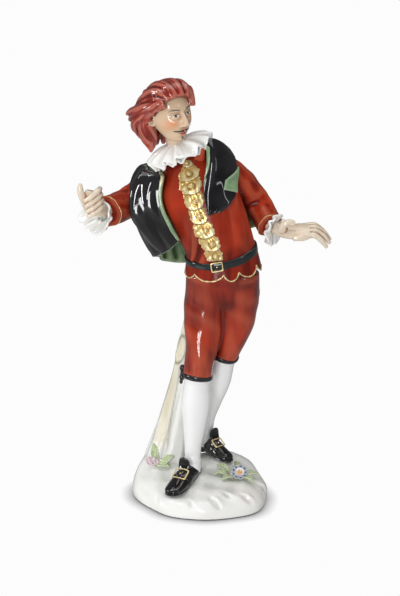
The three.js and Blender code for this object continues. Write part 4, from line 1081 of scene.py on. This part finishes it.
lip_red = np.maximum(bell(z + 0.291, 0.018) * ease((0.082 - wide) / 0.03),
                     bell(z + 0.343, 0.024) * ease((0.07 - wide) / 0.03))
mouth_line = bell(z + 0.315, 0.006) * ease((0.088 - wide) / 0.02)
blush = 0.9 * bell(np.hypot(wide - 0.2, z + 0.13), 0.085)
hair_relief = 0.012 * (moustache + 0.8 * tuft + 0.5 * brows)
face[..., 1] += (hair_relief * ahead_of_ears).reshape(face.shape[:2])
face_clay = plugged(on_head(face))
neck = roll(neck_rows, 48, 24)
ears = [ear(-1), ear(1)]
extra = len(face_clay[0]) - x.size + len(neck[0]) + sum(len(e[0]) for e in ears)
painted = {
    name: np.r_[np.clip(values * ahead_of_ears, 0, 1), np.zeros(extra)]
    for name, values in {
        "eye_white": inside_eye, "iris": iris, "lip": lip_red, "blush": blush,
        "black_line": np.clip(pupil + lash + brows + 1.2 * moustache + 1.2 * tuft, 0, 1),
        "brown_line": np.clip(lower_lash + mouth_line + 0.8 * bell(np.hypot(wide - 0.032, z + 0.2), 0.014),
                              0, 1),
    }.items()}


def face_colour(tree):
    # Painted shade browns the hollows of the face and a painted highlight lightens its ridges.
    flesh = pooled_shade_and_abraded_sheen(tree, enamel(212, 184, 154), enamel(176, 120, 86), enamel(232, 214, 194), 0.7, 0.3)
    for name, colour, share in (
        ("blush", enamel(220, 140, 92), 0.85), ("eye_white", enamel(244, 244, 240), 1.0),
        ("iris", enamel(96, 62, 34), 1.0), ("lip", enamel(186, 70, 58), 0.85),
        ("brown_line", enamel(110, 48, 30), 0.9), ("black_line", enamel(26, 18, 16), 0.96),
    ):
        flesh = blended(tree, reckon(tree, "MULTIPLY", mask(tree, name), share), flesh, colour)
    return flesh


head = modelled("head", together([face_clay, neck, *ears]),
                fired("painted_flesh", face_colour, gloss=0.1), **painted)
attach(head, "root")
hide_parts("figure")

# THE HAIR
# Waved hair brushed up off the brow and thrown back over the right shoulder. The locks are
# rolls of clay laid over a cap and combed with a wire tool, then painted iron red.

LOCKS = [  # in shares of the head's height, from the brow or temple to each tip
    [[0.24, 0.26, 0.25, 0.05, 0.05], [0.35, 0.1, 0.2, 0.11, 0.09], [0.39, -0.19, 0.13, 0.13, 0.11],
     [0.4, -0.5, 0.08, 0.1, 0.08], [0.41, -0.71, 0.03, 0.03, 0.03]],
    [[0.33, 0.16, 0.2, 0.04, 0.04], [0.4, 0.0, 0.14, 0.08, 0.07], [0.41, -0.27, 0.06, 0.11, 0.09],
     [0.42, -0.51, -0.01, 0.08, 0.06], [0.43, -0.64, -0.08, 0.02, 0.02]],
    [[0.37, 0.04, 0.14, 0.05, 0.04], [0.42, -0.14, 0.03, 0.1, 0.08], [0.41, -0.38, -0.09, 0.12, 0.1],
     [0.39, -0.51, -0.22, 0.08, 0.07], [0.3, -0.54, -0.34, 0.02, 0.02]],
    [[0.37, -0.1, 0.05, 0.06, 0.05], [0.39, -0.22, -0.1, 0.12, 0.1], [0.34, -0.28, -0.3, 0.13, 0.11],
     [0.3, -0.27, -0.47, 0.11, 0.1], [0.32, -0.26, -0.64, 0.02, 0.02]],
    [[0.35, -0.14, -0.1, 0.05, 0.04], [0.31, -0.17, -0.26, 0.08, 0.07],
     [0.27, -0.2, -0.4, 0.07, 0.06], [0.28, -0.22, -0.48, 0.02, 0.02]],
    [[0.18, 0.3, 0.29, 0.05, 0.04], [0.23, 0.18, 0.42, 0.1, 0.08], [0.25, -0.06, 0.38, 0.13, 0.1],
     [0.24, -0.39, 0.24, 0.11, 0.09], [0.24, -0.65, 0.1, 0.03, 0.03]],
    [[0.27, 0.24, 0.26, 0.04, 0.04], [0.31, 0.1, 0.31, 0.09, 0.07], [0.31, -0.17, 0.24, 0.1, 0.08],
     [0.31, -0.44, 0.16, 0.07, 0.06], [0.31, -0.7, 0.08, 0.02, 0.02]],
    [[0.1, 0.34, 0.31, 0.05, 0.04], [0.12, 0.24, 0.46, 0.1, 0.08], [0.11, -0.03, 0.49, 0.12, 0.1],
     [0.05, -0.38, 0.4, 0.09, 0.07], [0.05, -0.64, 0.26, 0.03, 0.03]],
    [[0.0, 0.36, 0.31, 0.05, 0.04], [-0.02, 0.27, 0.47, 0.1, 0.08], [-0.08, 0.03, 0.5, 0.12, 0.1],
     [-0.11, -0.33, 0.45, 0.1, 0.07], [-0.1, -0.6, 0.36, 0.03, 0.03]],
    [[-0.11, 0.34, 0.29, 0.05, 0.04], [-0.17, 0.27, 0.43, 0.1, 0.08], [-0.22, 0.04, 0.46, 0.12, 0.1],
     [-0.28, -0.31, 0.4, 0.11, 0.09], [-0.28, -0.6, 0.28, 0.03, 0.03]],
    [[-0.28, 0.26, 0.1, 0.04, 0.04], [-0.29, 0.27, 0.24, 0.07, 0.06], [-0.33, 0.12, 0.36, 0.1, 0.08],
     [-0.38, -0.15, 0.34, 0.11, 0.09], [-0.38, -0.45, 0.24, 0.04, 0.04]],
    [[0.1, 0.31, 0.4, 0.03, 0.03], [0.14, 0.2, 0.5, 0.05, 0.05], [0.18, 0.09, 0.5, 0.06, 0.05],
     [0.26, 0.1, 0.43, 0.05, 0.04], [0.26, 0.2, 0.37, 0.02, 0.02]],
    [[0.32, -0.36, 0.1, 0.1, 0.08], [0.36, -0.5, -0.08, 0.11, 0.09], [0.3, -0.5, -0.3, 0.1, 0.08],
     [0.24, -0.42, -0.5, 0.04, 0.04]],
    [[0.0, -0.36, 0.32, 0.16, 0.12], [0.02, -0.52, 0.04, 0.2, 0.12], [0.06, -0.5, -0.28, 0.18, 0.11],
     [0.12, -0.38, -0.56, 0.05, 0.05]],
    [[0.14, -0.42, 0.2, 0.1, 0.08], [0.18, -0.56, -0.04, 0.11, 0.09], [0.2, -0.52, -0.3, 0.1, 0.08],
     [0.22, -0.4, -0.54, 0.03, 0.03]],
    [[-0.18, -0.38, 0.2, 0.12, 0.09], [-0.2, -0.5, -0.06, 0.13, 0.1], [-0.14, -0.46, -0.34, 0.11, 0.09],
     [-0.04, -0.38, -0.58, 0.03, 0.03]],
    [[-0.34, 0.02, 0.12, 0.06, 0.05], [-0.38, -0.18, 0.0, 0.1, 0.08], [-0.34, -0.34, -0.2, 0.1, 0.08],
     [-0.24, -0.36, -0.44, 0.03, 0.03]],
    [[-0.3, -0.2, 0.3, 0.09, 0.07], [-0.36, -0.4, 0.06, 0.11, 0.09], [-0.3, -0.46, -0.18, 0.09, 0.08],
     [-0.2, -0.4, -0.42, 0.03, 0.03]],
]


def combed(angle, t):
    """Grooves left by the wire tool, deepest along the middle of a lock."""
    strands = np.abs(np.sin(2.5 * angle + 5 * t)) ** 0.7
    fine = np.abs(np.sin(6.5 * angle + 9 * t))
    return -(0.3 * (1 - strands) + 0.2 * (1 - fine)) * np.sin(TURN / 2 * np.clip(t, 0.06, 0.97)) ** 0.5


def lock(rows):
    rows = np.array(rows, float)
    rows[0, 3:] += 0.04
    middle = np.hstack([on_head(rows[:, :3]), rows[:, 3:] * HEAD_HEIGHT * 1.1])
    return roll(middle, 72, 80, lift=combed)


def cap(rows=120, sides=200):
    polar, angle = np.meshgrid(np.linspace(0.01, 0.99, rows) * TURN / 2,
                               TURN * np.arange(sides) / sides, indexing="ij")
    ball = np.stack([np.cos(angle) * np.sin(polar), np.sin(angle) * np.sin(polar), -np.cos(polar)], -1)
    x, y, z = (ball[..., k] for k in range(3))
    flow = x * 13 + 1.2 * np.sin(4.5 * y + 2 * z) + 2.0 * y
    wave = 1 + 0.045 * np.abs(np.sin(flow)) + 0.018 * np.sin(3 * flow + 1)
    shares = ball * wave[..., None] * (0.375, 0.435, 0.39) + (0, -0.12, 0.14)
    return plugged(on_head(shares))


def hair_colour(tree):
    strands = brushed(tree, enamel(156, 52, 38), enamel(98, 28, 24), 380, 0.8)
    # Painted shade darkens the grooves of the locks and a painted pink highlight lightens their ridges.
    return pooled_shade_and_abraded_sheen(tree, strands, enamel(72, 18, 18), enamel(200, 122, 104), 0.75, 0.6)


hair = modelled("hair", luted([cap(), *map(lock, LOCKS)], 0.27, 1),
                fired("hair_red", hair_colour, gloss=0.12, ripple=600))
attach(hair, "root")
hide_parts("figure")

# THE CLOAK
# A short mantle of rolled clay over both shoulders, black outside and sage green in its
# lining, edged in a pale green cord. The left front is folded up short on the breast.

MANTLE = Form([
    [-4.8, -0.6, 119.8, 5.0, 4.4], [-3.7, 0.3, 117.4, 11.2, 7.4], [-3.4, 0.8, 113.6, 14.4, 9.6],
    [-4.4, 1.4, 107.0, 17.8, 11.4], [-3.0, 2.0, 100.0, 17.7, 12.0], [0.2, 2.4, 92.0, 17.3, 12.0],
    [2.0, 2.6, 84.0, 15.8, 12.2], [3.4, 2.8, 76.0, 14.4, 12.2],
])
HEM_REACH = [[0.664], [0.729], [0.771], [0.801], [0.853], [0.9], [0.913], [0.896], [0.844], [0.789],
             [0.767]]  # how far down the form the cloak reaches, from its right front round to its left
MANTLE_BEGINS = [[0.41], [0.39], [0.37], [0.335], [0.32], [0.31], [0.305]]
MANTLE_ENDS = [[1.08], [1.07], [1.05], [1.03], [1.0], [0.98], [0.96]]


def mantle(u, v, lift):
    """The cloak's cloth: u from its right front round the back to its left, v down it."""
    begin, end = (along(table, v)[..., 0] for table in (MANTLE_BEGINS, MANTLE_ENDS))
    reach = along(HEM_REACH, u)[..., 0]
    fall = ease(v * 1.4)
    folds = 0.75 * np.sin(TURN * 5 * u + 0.5) + 0.3 * np.sin(TURN * 9 * u + 3 * v + 1)
    folds = (folds + 0.15 * np.sin(TURN * 16 * u - 4 * v)) * ease((u - 0.1) / 0.12)
    folds = folds + 0.9 * np.sin(TURN * np.clip(u / 0.32, 0, 0.5)) - 0.3 * bell(u - 0.07, 0.02)
    folds = folds + 0.26 * np.sin(TURN * u / 0.06 + 3 * v + 1) * bell(u - 0.12, 0.1) * bell(v - 0.5, 0.4)
    folds = folds + 4.4 * ease((u - 0.82) / 0.18) * ease((v - 0.3) / 0.6)
    folds = folds + 4.1 * bell(u - 0.115, 0.055) * bell(v - 0.64, 0.19)  # over the right arm
    angle = TURN * (begin + (end - begin) * u)
    return MANTLE.skin(v * reach, angle, fall * folds + lift)


def slab(grid, thick):
    """A sheet of clay over an open grid of places, rounded off at its edges."""
    rows, columns = grid.shape[:2]
    normal = unit(np.cross(np.gradient(grid, axis=1), np.gradient(grid, axis=0)))
    steps = [np.linalg.norm(np.diff(grid, axis=axis), axis=-1) for axis in (0, 1)]
    gone = [np.concatenate([np.zeros_like(s.take([0], axis)), s.cumsum(axis)], axis)
            for axis, s in enumerate(steps)]
    near = [np.minimum(g, g.take([-1], axis) - g) for axis, g in enumerate(gone)]
    from_edge = np.clip(np.minimum(*near) / (thick / 2), 0, 1)
    half = (thick / 2 * np.sqrt(1 - (1 - from_edge) ** 2))[..., None]
    front, rear = grid + normal * half, grid - normal * half
    index = np.arange(rows * columns).reshape(rows, columns)
    back = index + rows * columns
    for edge in (np.s_[0, :], np.s_[-1, :], np.s_[:, 0], np.s_[:, -1]):
        back[edge] = index[edge]
    faces, flat = weave(rows, columns, round_columns=False), back.ravel()
    faces += [[int(flat[i]) for i in face[::-1]] for face in faces]
    points, used = np.vstack([front.reshape(-1, 3), rear.reshape(-1, 3)]), np.zeros(2 * rows * columns, bool)
    used[np.unique(np.concatenate([index.ravel(), flat]))] = True
    renumber = np.cumsum(used) - 1
    return facing_out(points[used], [[int(renumber[i]) for i in face] for face in faces])


def crowded(count, power=0.75):
    """Shares from 0 to 1 that lie closer together near both ends."""
    s = np.linspace(-1, 1, count)
    return 0.5 + 0.5 * np.sign(s) * (1 - (1 - np.abs(s)) ** (1 / power))


v, u = np.meshgrid(0.03 + 0.97 * crowded(72), crowded(190), indexing="ij")
cloak = modelled("cloak", slab(mantle(u, v, 0 * u - 0.35), 0.7), black_enamel)


def lining_colour(tree):
    sage = blended(tree, patches(tree, 300, 0.35, 0.7, 4.0), enamel(134, 164, 124), enamel(104, 136, 100))
    # Painted shade darkens the hollows of the lining and a painted highlight lightens its ridges.
    return pooled_shade_and_abraded_sheen(tree, sage, enamel(52, 74, 50), enamel(172, 192, 158), 0.8, 0.4)


sage_lining = fired("sage_lining", lining_colour, gloss=0.14)
v, u = np.meshgrid(0.04 + 0.955 * crowded(60), 0.004 + 0.992 * crowded(150), indexing="ij")
lining = slab(mantle(u, v, 0 * u - 0.95), 0.55)


def patch(table, rows, columns):
    """A smooth sheet through a table of places."""
    table = np.asarray(table, float)
    across = np.stack([along(row, crowded(columns)) for row in table])
    return np.stack([along(across[:, i], crowded(rows)) for i in range(columns)], 1)


SHORT_FRONT = [  # from the border beside the buttons to the shoulder's edge, top to bottom
    [[2.4, -6.6, 125.2], [4.8, -5.8, 125.4], [7.4, -3.8, 123.8], [9.8, -0.6, 121.0]],
    [[2.5, -8.4, 122.0], [5.2, -8.2, 122.0], [8.6, -6.2, 120.6], [11.6, -1.8, 118.3]],
    [[2.9, -9.4, 117.9], [5.4, -9.9, 118.0], [8.9, -8.3, 117.0], [12.1, -3.8, 115.1]],
    [[2.4, -10.0, 113.2], [4.8, -10.9, 113.0], [8.0, -9.9, 112.5], [11.7, -5.8, 110.7]],
    [[1.9, -10.8, 108.7], [4.4, -11.6, 108.5], [7.7, -11.0, 108.4], [11.7, -7.9, 106.8]],
    [[2.7, -11.7, 104.7], [4.2, -12.3, 104.2], [7.2, -11.9, 104.3], [10.3, -10.0, 105.4]],
    [[3.3, -12.9, 101.7], [3.8, -12.8, 101.4], [5.0, -12.4, 102.0], [6.6, -11.7, 102.9]],
]


def short_front(rows=80, columns=60):
    grid = patch(SHORT_FRONT, rows, columns)
    v, u = np.meshgrid(crowded(rows), crowded(columns), indexing="ij")
    out = unit(np.cross(np.gradient(grid, axis=0), np.gradient(grid, axis=1)))
    folds = 0.4 * np.sin(TURN * 1.3 * u + 1.2 * v - 0.6) * ease(v * 2)
    return grid + out * (folds * ease(v / 0.2))[..., None], out


def cloth_at(grid, v, u):
    """Places on the folded front between those of its grid."""
    rows, columns = grid.shape[:2]
    i = np.interp(v, crowded(rows), np.arange(rows))
    j = np.interp(u, crowded(columns), np.arange(columns))
    a, b = np.clip(i.astype(int), 0, rows - 2), np.clip(j.astype(int), 0, columns - 2)
    f, g = (i - a)[..., None], (j - b)[..., None]
    upper = (1 - g) * grid[a, b] + g * grid[a, b + 1]
    return (1 - f) * upper + f * ((1 - g) * grid[a + 1, b] + g * grid[a + 1, b + 1])


front_grid, front_out = short_front()
cloak_front = modelled("cloak_front", slab(front_grid, 1.3), black_enamel)
# The lining shows where the inner border turns over and where one corner folds forward.
v, u = np.meshgrid(crowded(70), crowded(14), indexing="ij")
lapel_v, lapel_u = 0.1 + 0.5 * v, 0.003 + (0.02 + 0.15 * ease((1 - v) / 0.5) * ease(v / 0.1)) * u
lapel = cloth_at(front_grid, lapel_v, lapel_u)
lapel = lapel + 0.85 * unit(cloth_at(front_out, lapel_v, lapel_u))
down, over = np.meshgrid(crowded(30), crowded(24), indexing="ij")
corner_wide = 0.02 + 0.26 * np.clip(down / 0.6, 0, 1) + 0.05 * down
corner_v, corner_u = 0.31 + 0.31 * down, 0.998 - corner_wide * (1 - over)
corner = cloth_at(front_grid, corner_v, corner_u)
corner = corner + 0.95 * unit(cloth_at(front_out, corner_v, corner_u)) * (1, 1, 0.4)
turned = [slab(lapel, 0.5), slab(corner, 0.6)]
cloak_lining = modelled("cloak_lining", together([lining, *turned]), sage_lining)

line = np.linspace(0, 1, 200)
edge = mantle(0 * line + 0.004, 0.04 + 0.955 * line, 0 * line - 0.5)
hem = mantle(0.004 + 0.99 * line, 0 * line + 0.996, 0 * line - 0.55)
cords = [cord_round(edge, 0.42, shut=False, beside=(1, 0.3, 0)), cord_round(hem, 0.24, shut=False)]
v, u = np.meshgrid(0.04 + 0.95 * crowded(80), -0.002 + 0.013 * crowded(10), indexing="ij")
u = u * np.clip((1 - v) / 0.12, 0.15, 1) ** 0.5
border = slab(mantle(u, v, 0 * u + 0.15), 0.5)
cream = np.r_[np.zeros(sum(len(c[0]) for c in cords)), ease((border[0][:, 2] - 109.5) / 2)]


def border_colour(tree):
    return blended(tree, mask(tree, "cream"), lining_colour(tree), enamel(214, 204, 164))


cloak_cord = modelled("cloak_cord", together([*cords, border]),
                      fired("border_sage", border_colour, gloss=0.12), cream=cream)
for made in (cloak, cloak_front, cloak_lining, cloak_cord):
    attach(made, "root")
    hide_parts("figure")

# THE SPRIGS
# Two hand-made blooms on the mound among pressed leaves: petals pinched one by one, set in
# slip while the mound was leather hard, and touched in with enamel.

PINK_AT, BLUE_AT = (-15.7, -0.6), (14.0, -6.0)


def on_mound(x, y, lift=0.0):
    return np.array([x, y, float(mound_top(np.array(x), np.array(y))) + lift])


BLOOM = basis((0.05, -0.62, 0.78))  # the blooms lean out towards the front


def petal(centre, out_angle, tilt, long, wide, cup=0.35):
    """One pinched petal, from the flower's middle outwards, cupped along its length."""
    v, u = np.meshgrid(crowded(11), crowded(9), indexing="ij")
    span = np.sin(TURN / 2 * np.clip(0.12 + 0.76 * v, 0, 1)) ** 0.8
    across, ahead = (u - 0.5) * wide * span, v * long
    rise = np.sin(tilt) * ahead + cup * (2 * u - 1) ** 2 * wide * 0.4 + 0.15 * long * v**2
    forward, side = (np.array([math.cos(a), math.sin(a), 0]) for a in (out_angle, out_angle + TURN / 4))
    grid = ahead[..., None] * math.cos(tilt) * forward + across[..., None] * side + rise[..., None] * UP
    return slab(centre + grid @ BLOOM, 0.32)


def leaf(x, y, turn, rise=0.0, long=5.0, wide=3.1):
    """A pressed leaf with a sunk midrib, side veins and a toothed edge. rise lifts its tip."""
    v, u = np.meshgrid(crowded(34), crowded(24), indexing="ij")
    span = np.sin(TURN / 2 * np.clip(v, 0.015, 0.985)) ** 0.75 * (1 - 0.35 * v)
    q = 2 * u - 1
    edge = 1 + 0.08 * np.abs(np.sin(TURN * 3.5 * v)) * np.abs(q) ** 4
    angle = turn * TURN
    forward, side = (np.array([math.cos(a), math.sin(a), 0]) for a in (angle, angle + TURN / 4))
    x = x + forward[0] * v * long + side[0] * q * span * edge * wide / 2 - forward[0] * long / 2
    y = y + forward[1] * v * long + side[1] * q * span * edge * wide / 2 - forward[1] * long / 2
    veins = 0.09 * np.sin(TURN * (4.5 * v - 1.6 * np.abs(q))) * (1 - q**2)
    lift = 0.75 + 0.6 * np.abs(q) - 0.4 * bell(q, 0.12) + veins + 0.9 * np.sin(TURN / 2 * v)
    return slab(np.stack([x, y, mound_top(x, y) + lift * 0.8 + rise * v], -1), 0.42)


LEAVES = [(-15.2, 1.0, 0.27, 3.2), (-10.7, -0.9, 0.07, 2.2), (-12.4, -2.2, 0.95, 0.6),
          (8.4, -3.0, 0.4, 0.3), (7.8, -6.3, 0.5, 0.2), (10.0, -8.8, 0.62, 0.1), (18.0, -5.4, 0.03, 0.2),
          (17.0, -9.0, 0.88, 0.1), (13.2, -0.9, 0.26, 0.6)]
PETAL_TINTS = {"pink_bloom": (enamel(240, 218, 224), enamel(158, 84, 108)),
               "blue_bloom": (enamel(232, 235, 238), enamel(34, 58, 104))}


def leaf_colour(tree):
    green = blended(tree, patches(tree, 420, 0.35, 0.7), enamel(176, 194, 142), enamel(120, 148, 96))
    # Painted shade darkens the hollows and sunk veins and a painted white highlight lightens the ridges.
    return pooled_shade_and_abraded_sheen(tree, green, enamel(62, 92, 58), enamel(222, 228, 198), 0.9, 0.7)


leaves = modelled("leaves", together([leaf(*place) for place in LEAVES]),
                  fired("leaf_green", leaf_colour, gloss=0.12))
pink, blue = [], []
for n in range(9):
    a = TURN * n / 8
    off = (1.35 + 0.3 * (n % 3)) * np.array([math.cos(a), 0.85 * math.sin(a), 0]) * (n > 0)
    heart = on_mound(*PINK_AT, 1.6) + (off + (0, 0, 0.5 * (n == 0))) @ BLOOM
    pink += [petal(heart, 2.3 * n + TURN * k / 5, 0.35 + 0.1 * (n % 4), 1.05, 0.9) for k in range(5)]
for ring_count, tilt, long, wide in ((9, 0.12, 2.9, 2.2), (8, 0.5, 1.9, 1.5)):
    heart = on_mound(*BLUE_AT, 1.7)
    blue += [petal(heart, TURN * k / ring_count, tilt, long, wide, 0.5) for k in range(ring_count)]
blooms = []
for (name, (pale, edge)), clays in zip(PETAL_TINTS.items(), (pink, blue)):
    clay = together(clays)
    heart = on_mound(*(PINK_AT if name == "pink_bloom" else BLUE_AT), 1.7)
    away = np.linalg.norm(clay[0] - heart, axis=1)
    rim = ease((away - 1.75) / 0.4) if name == "blue_bloom" else 0.4 + 0.4 * np.sin(6.5 * away)

    def petal_colour(tree, pale=pale, edge=edge):
        tinted = blended(tree, reckon(tree, "MULTIPLY", mask(tree, "rim"), 0.85), pale, edge)
        # Painted shade tints the hollows with the edge colour and a painted highlight whitens the ridges.
        return pooled_shade_and_abraded_sheen(tree, tinted, edge, enamel(248, 246, 246), 0.6, 0.5)

    blooms.append(modelled(name, clay, fired(name + "_enamel", petal_colour, gloss=0.1), rim=rim))
hearts = []
for k in range(9):
    a, r = 2.4 * k, 0.27 * math.sqrt(k)
    place = on_mound(*BLUE_AT, 1.7) + np.array([r * math.cos(a), r * math.sin(a), 0.55]) @ BLOOM
    hearts.append(bead(place, (0.34, 0.34, 0.4), sides=12, rows=8))


def heart_colour(tree):
    yolk = blended(tree, patches(tree, 900, 0.4, 0.6), enamel(232, 160, 60), enamel(200, 96, 44))
    # Painted shade browns the hollows and a painted highlight lightens the ridges of the bloom's heart.
    return pooled_shade_and_abraded_sheen(tree, yolk, enamel(120, 50, 24), enamel(246, 206, 120))


bloom_heart = modelled("bloom_heart", together(hearts), fired("heart_yellow", heart_colour, gloss=0.15))
for made in (leaves, *blooms, bloom_heart):
    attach(made, "root")
    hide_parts("figure")

# THE STAGE
# A plain white table running up into a white background, with a large soft light on the
# left, a tall strip of light on the right, and the camera a little above the figure.

TARGET = Vector((0.5, 0.0, 70.4)) * MM
DISTANCE, RISE, FOCAL_SHARE = 560 * MM, math.radians(15), 1668.8 / 400


def stage_material():
    made = bpy.data.materials.new("white_table")
    made.use_nodes = True
    tree = made.node_tree
    shader = tree.nodes["Principled BSDF"]
    tone = blended(tree, patches(tree, 3, 0.3, 0.7), (0.92, 0.92, 0.92, 1), (0.93, 0.93, 0.93, 1))
    spot = lay(tree, "TexCoord").outputs["Object"]
    card = lay(tree, "VectorMath", {0: spot, 1: (-0.14, -0.07, 0.0)}, operation="DISTANCE").outputs["Value"]
    mirrored = reckon(tree, "MULTIPLY", lay(tree, "LightPath").outputs["Is Glossy Ray"],
                      spread(tree, card, 0.02, 0.08, 0.1, 0.8))
    tone = blended(tree, mirrored, tone, (0.1, 0.1, 0.1, 1))
    tree.links.new(tone, shader.inputs["Base Color"])
    shader.inputs["Roughness"].default_value = 0.9
    shader.inputs["Specular IOR Level"].default_value = 0.0
    # The table glows evenly for the camera, darkened round the base by a painted contact shadow from an
    # occlusion test.
    corner_shade = lay(tree, "AmbientOcclusion", {"Distance": 0.0045}, samples=12).outputs["AO"]
    soft = reckon(tree, "POWER", corner_shade, 1.2)
    sweep = lay(tree, "Emission", {"Color": (1, 1, 1, 1), "Strength": reckon(tree, "MULTIPLY", soft, 0.975)})
    seen = lay(tree, "LightPath").outputs["Is Camera Ray"]
    both = lay(tree, "MixShader", {0: seen, 1: shader.outputs[0], 2: sweep.outputs[0]})
    tree.links.new(both.outputs[0], tree.nodes["Material Output"].inputs["Surface"])
    return made


table_mesh = bpy.data.meshes.new("table_top")
size = 3.0
table_corners = [(-size, -size, 0), (size, -size, 0), (size, size, 0), (-size, size, 0)]
table_mesh.from_pydata(table_corners, [], [(0, 1, 2, 3)])
table_mesh.materials.append(stage_material())
table = bpy.data.objects.new("table_top", table_mesh)
scene.collection.objects.link(table)

world = bpy.data.worlds.new("studio")
scene.world = world
world.use_nodes = True
tree = world.node_tree
seen = lay(tree, "LightPath").outputs["Is Camera Ray"]
shine = lay(tree, "LightPath").outputs["Is Glossy Ray"]
power = reckon(tree, "ADD", 0.385, reckon(tree, "MULTIPLY", seen, 0.59))
power = reckon(tree, "SUBTRACT", power, reckon(tree, "MULTIPLY", shine, 0.285))
tree.links.new(power, tree.nodes["Background"].inputs["Strength"])
tree.nodes["Background"].inputs["Color"].default_value = (1, 1, 1, 1)


def lamp(name, place, wide, high, watts):
    light = bpy.data.lights.new(name, "AREA")
    light.shape, light.size, light.size_y, light.energy = "RECTANGLE", wide, high, watts
    made = bpy.data.objects.new(name, light)
    made.location = place
    made.rotation_euler = (Vector((0, 0, 0.075)) - made.location).to_track_quat("-Z", "Y").to_euler()
    scene.collection.objects.link(made)


lamp("front_strip", Vector((-0.2, -0.57, 0.2)), 0.04, 0.3, 0.85)
lamp("low_softbox", Vector((-0.1, -0.58, 0.06)), 0.1, 0.11, 0.45)
lamp("left_softbox", Vector((-0.6, -0.08, 0.18)), 0.12, 0.13, 0.75)
lamp("high_strip", Vector((-0.33, -0.14, 0.6)), 0.03, 0.2, 0.35)
lamp("right_strip", Vector((0.5, -0.45, 0.3)), 0.05, 0.36, 0.2)
lamp("overhead", Vector((0.0, -0.05, 0.75)), 0.6, 0.6, 1.95)

camera = bpy.data.objects.new("camera", bpy.data.cameras.new("camera"))
scene.collection.objects.link(camera)
scene.camera = camera
back = Vector((0, -math.cos(RISE), math.sin(RISE)))
camera.location = TARGET + back * DISTANCE
camera.rotation_euler = (-back).to_track_quat("-Z", "Y").to_euler()
camera.data.sensor_fit, camera.data.sensor_width = "HORIZONTAL", 36.0
camera.data.lens = 36.0 * FOCAL_SHARE
scene.view_settings.view_transform = "Standard"
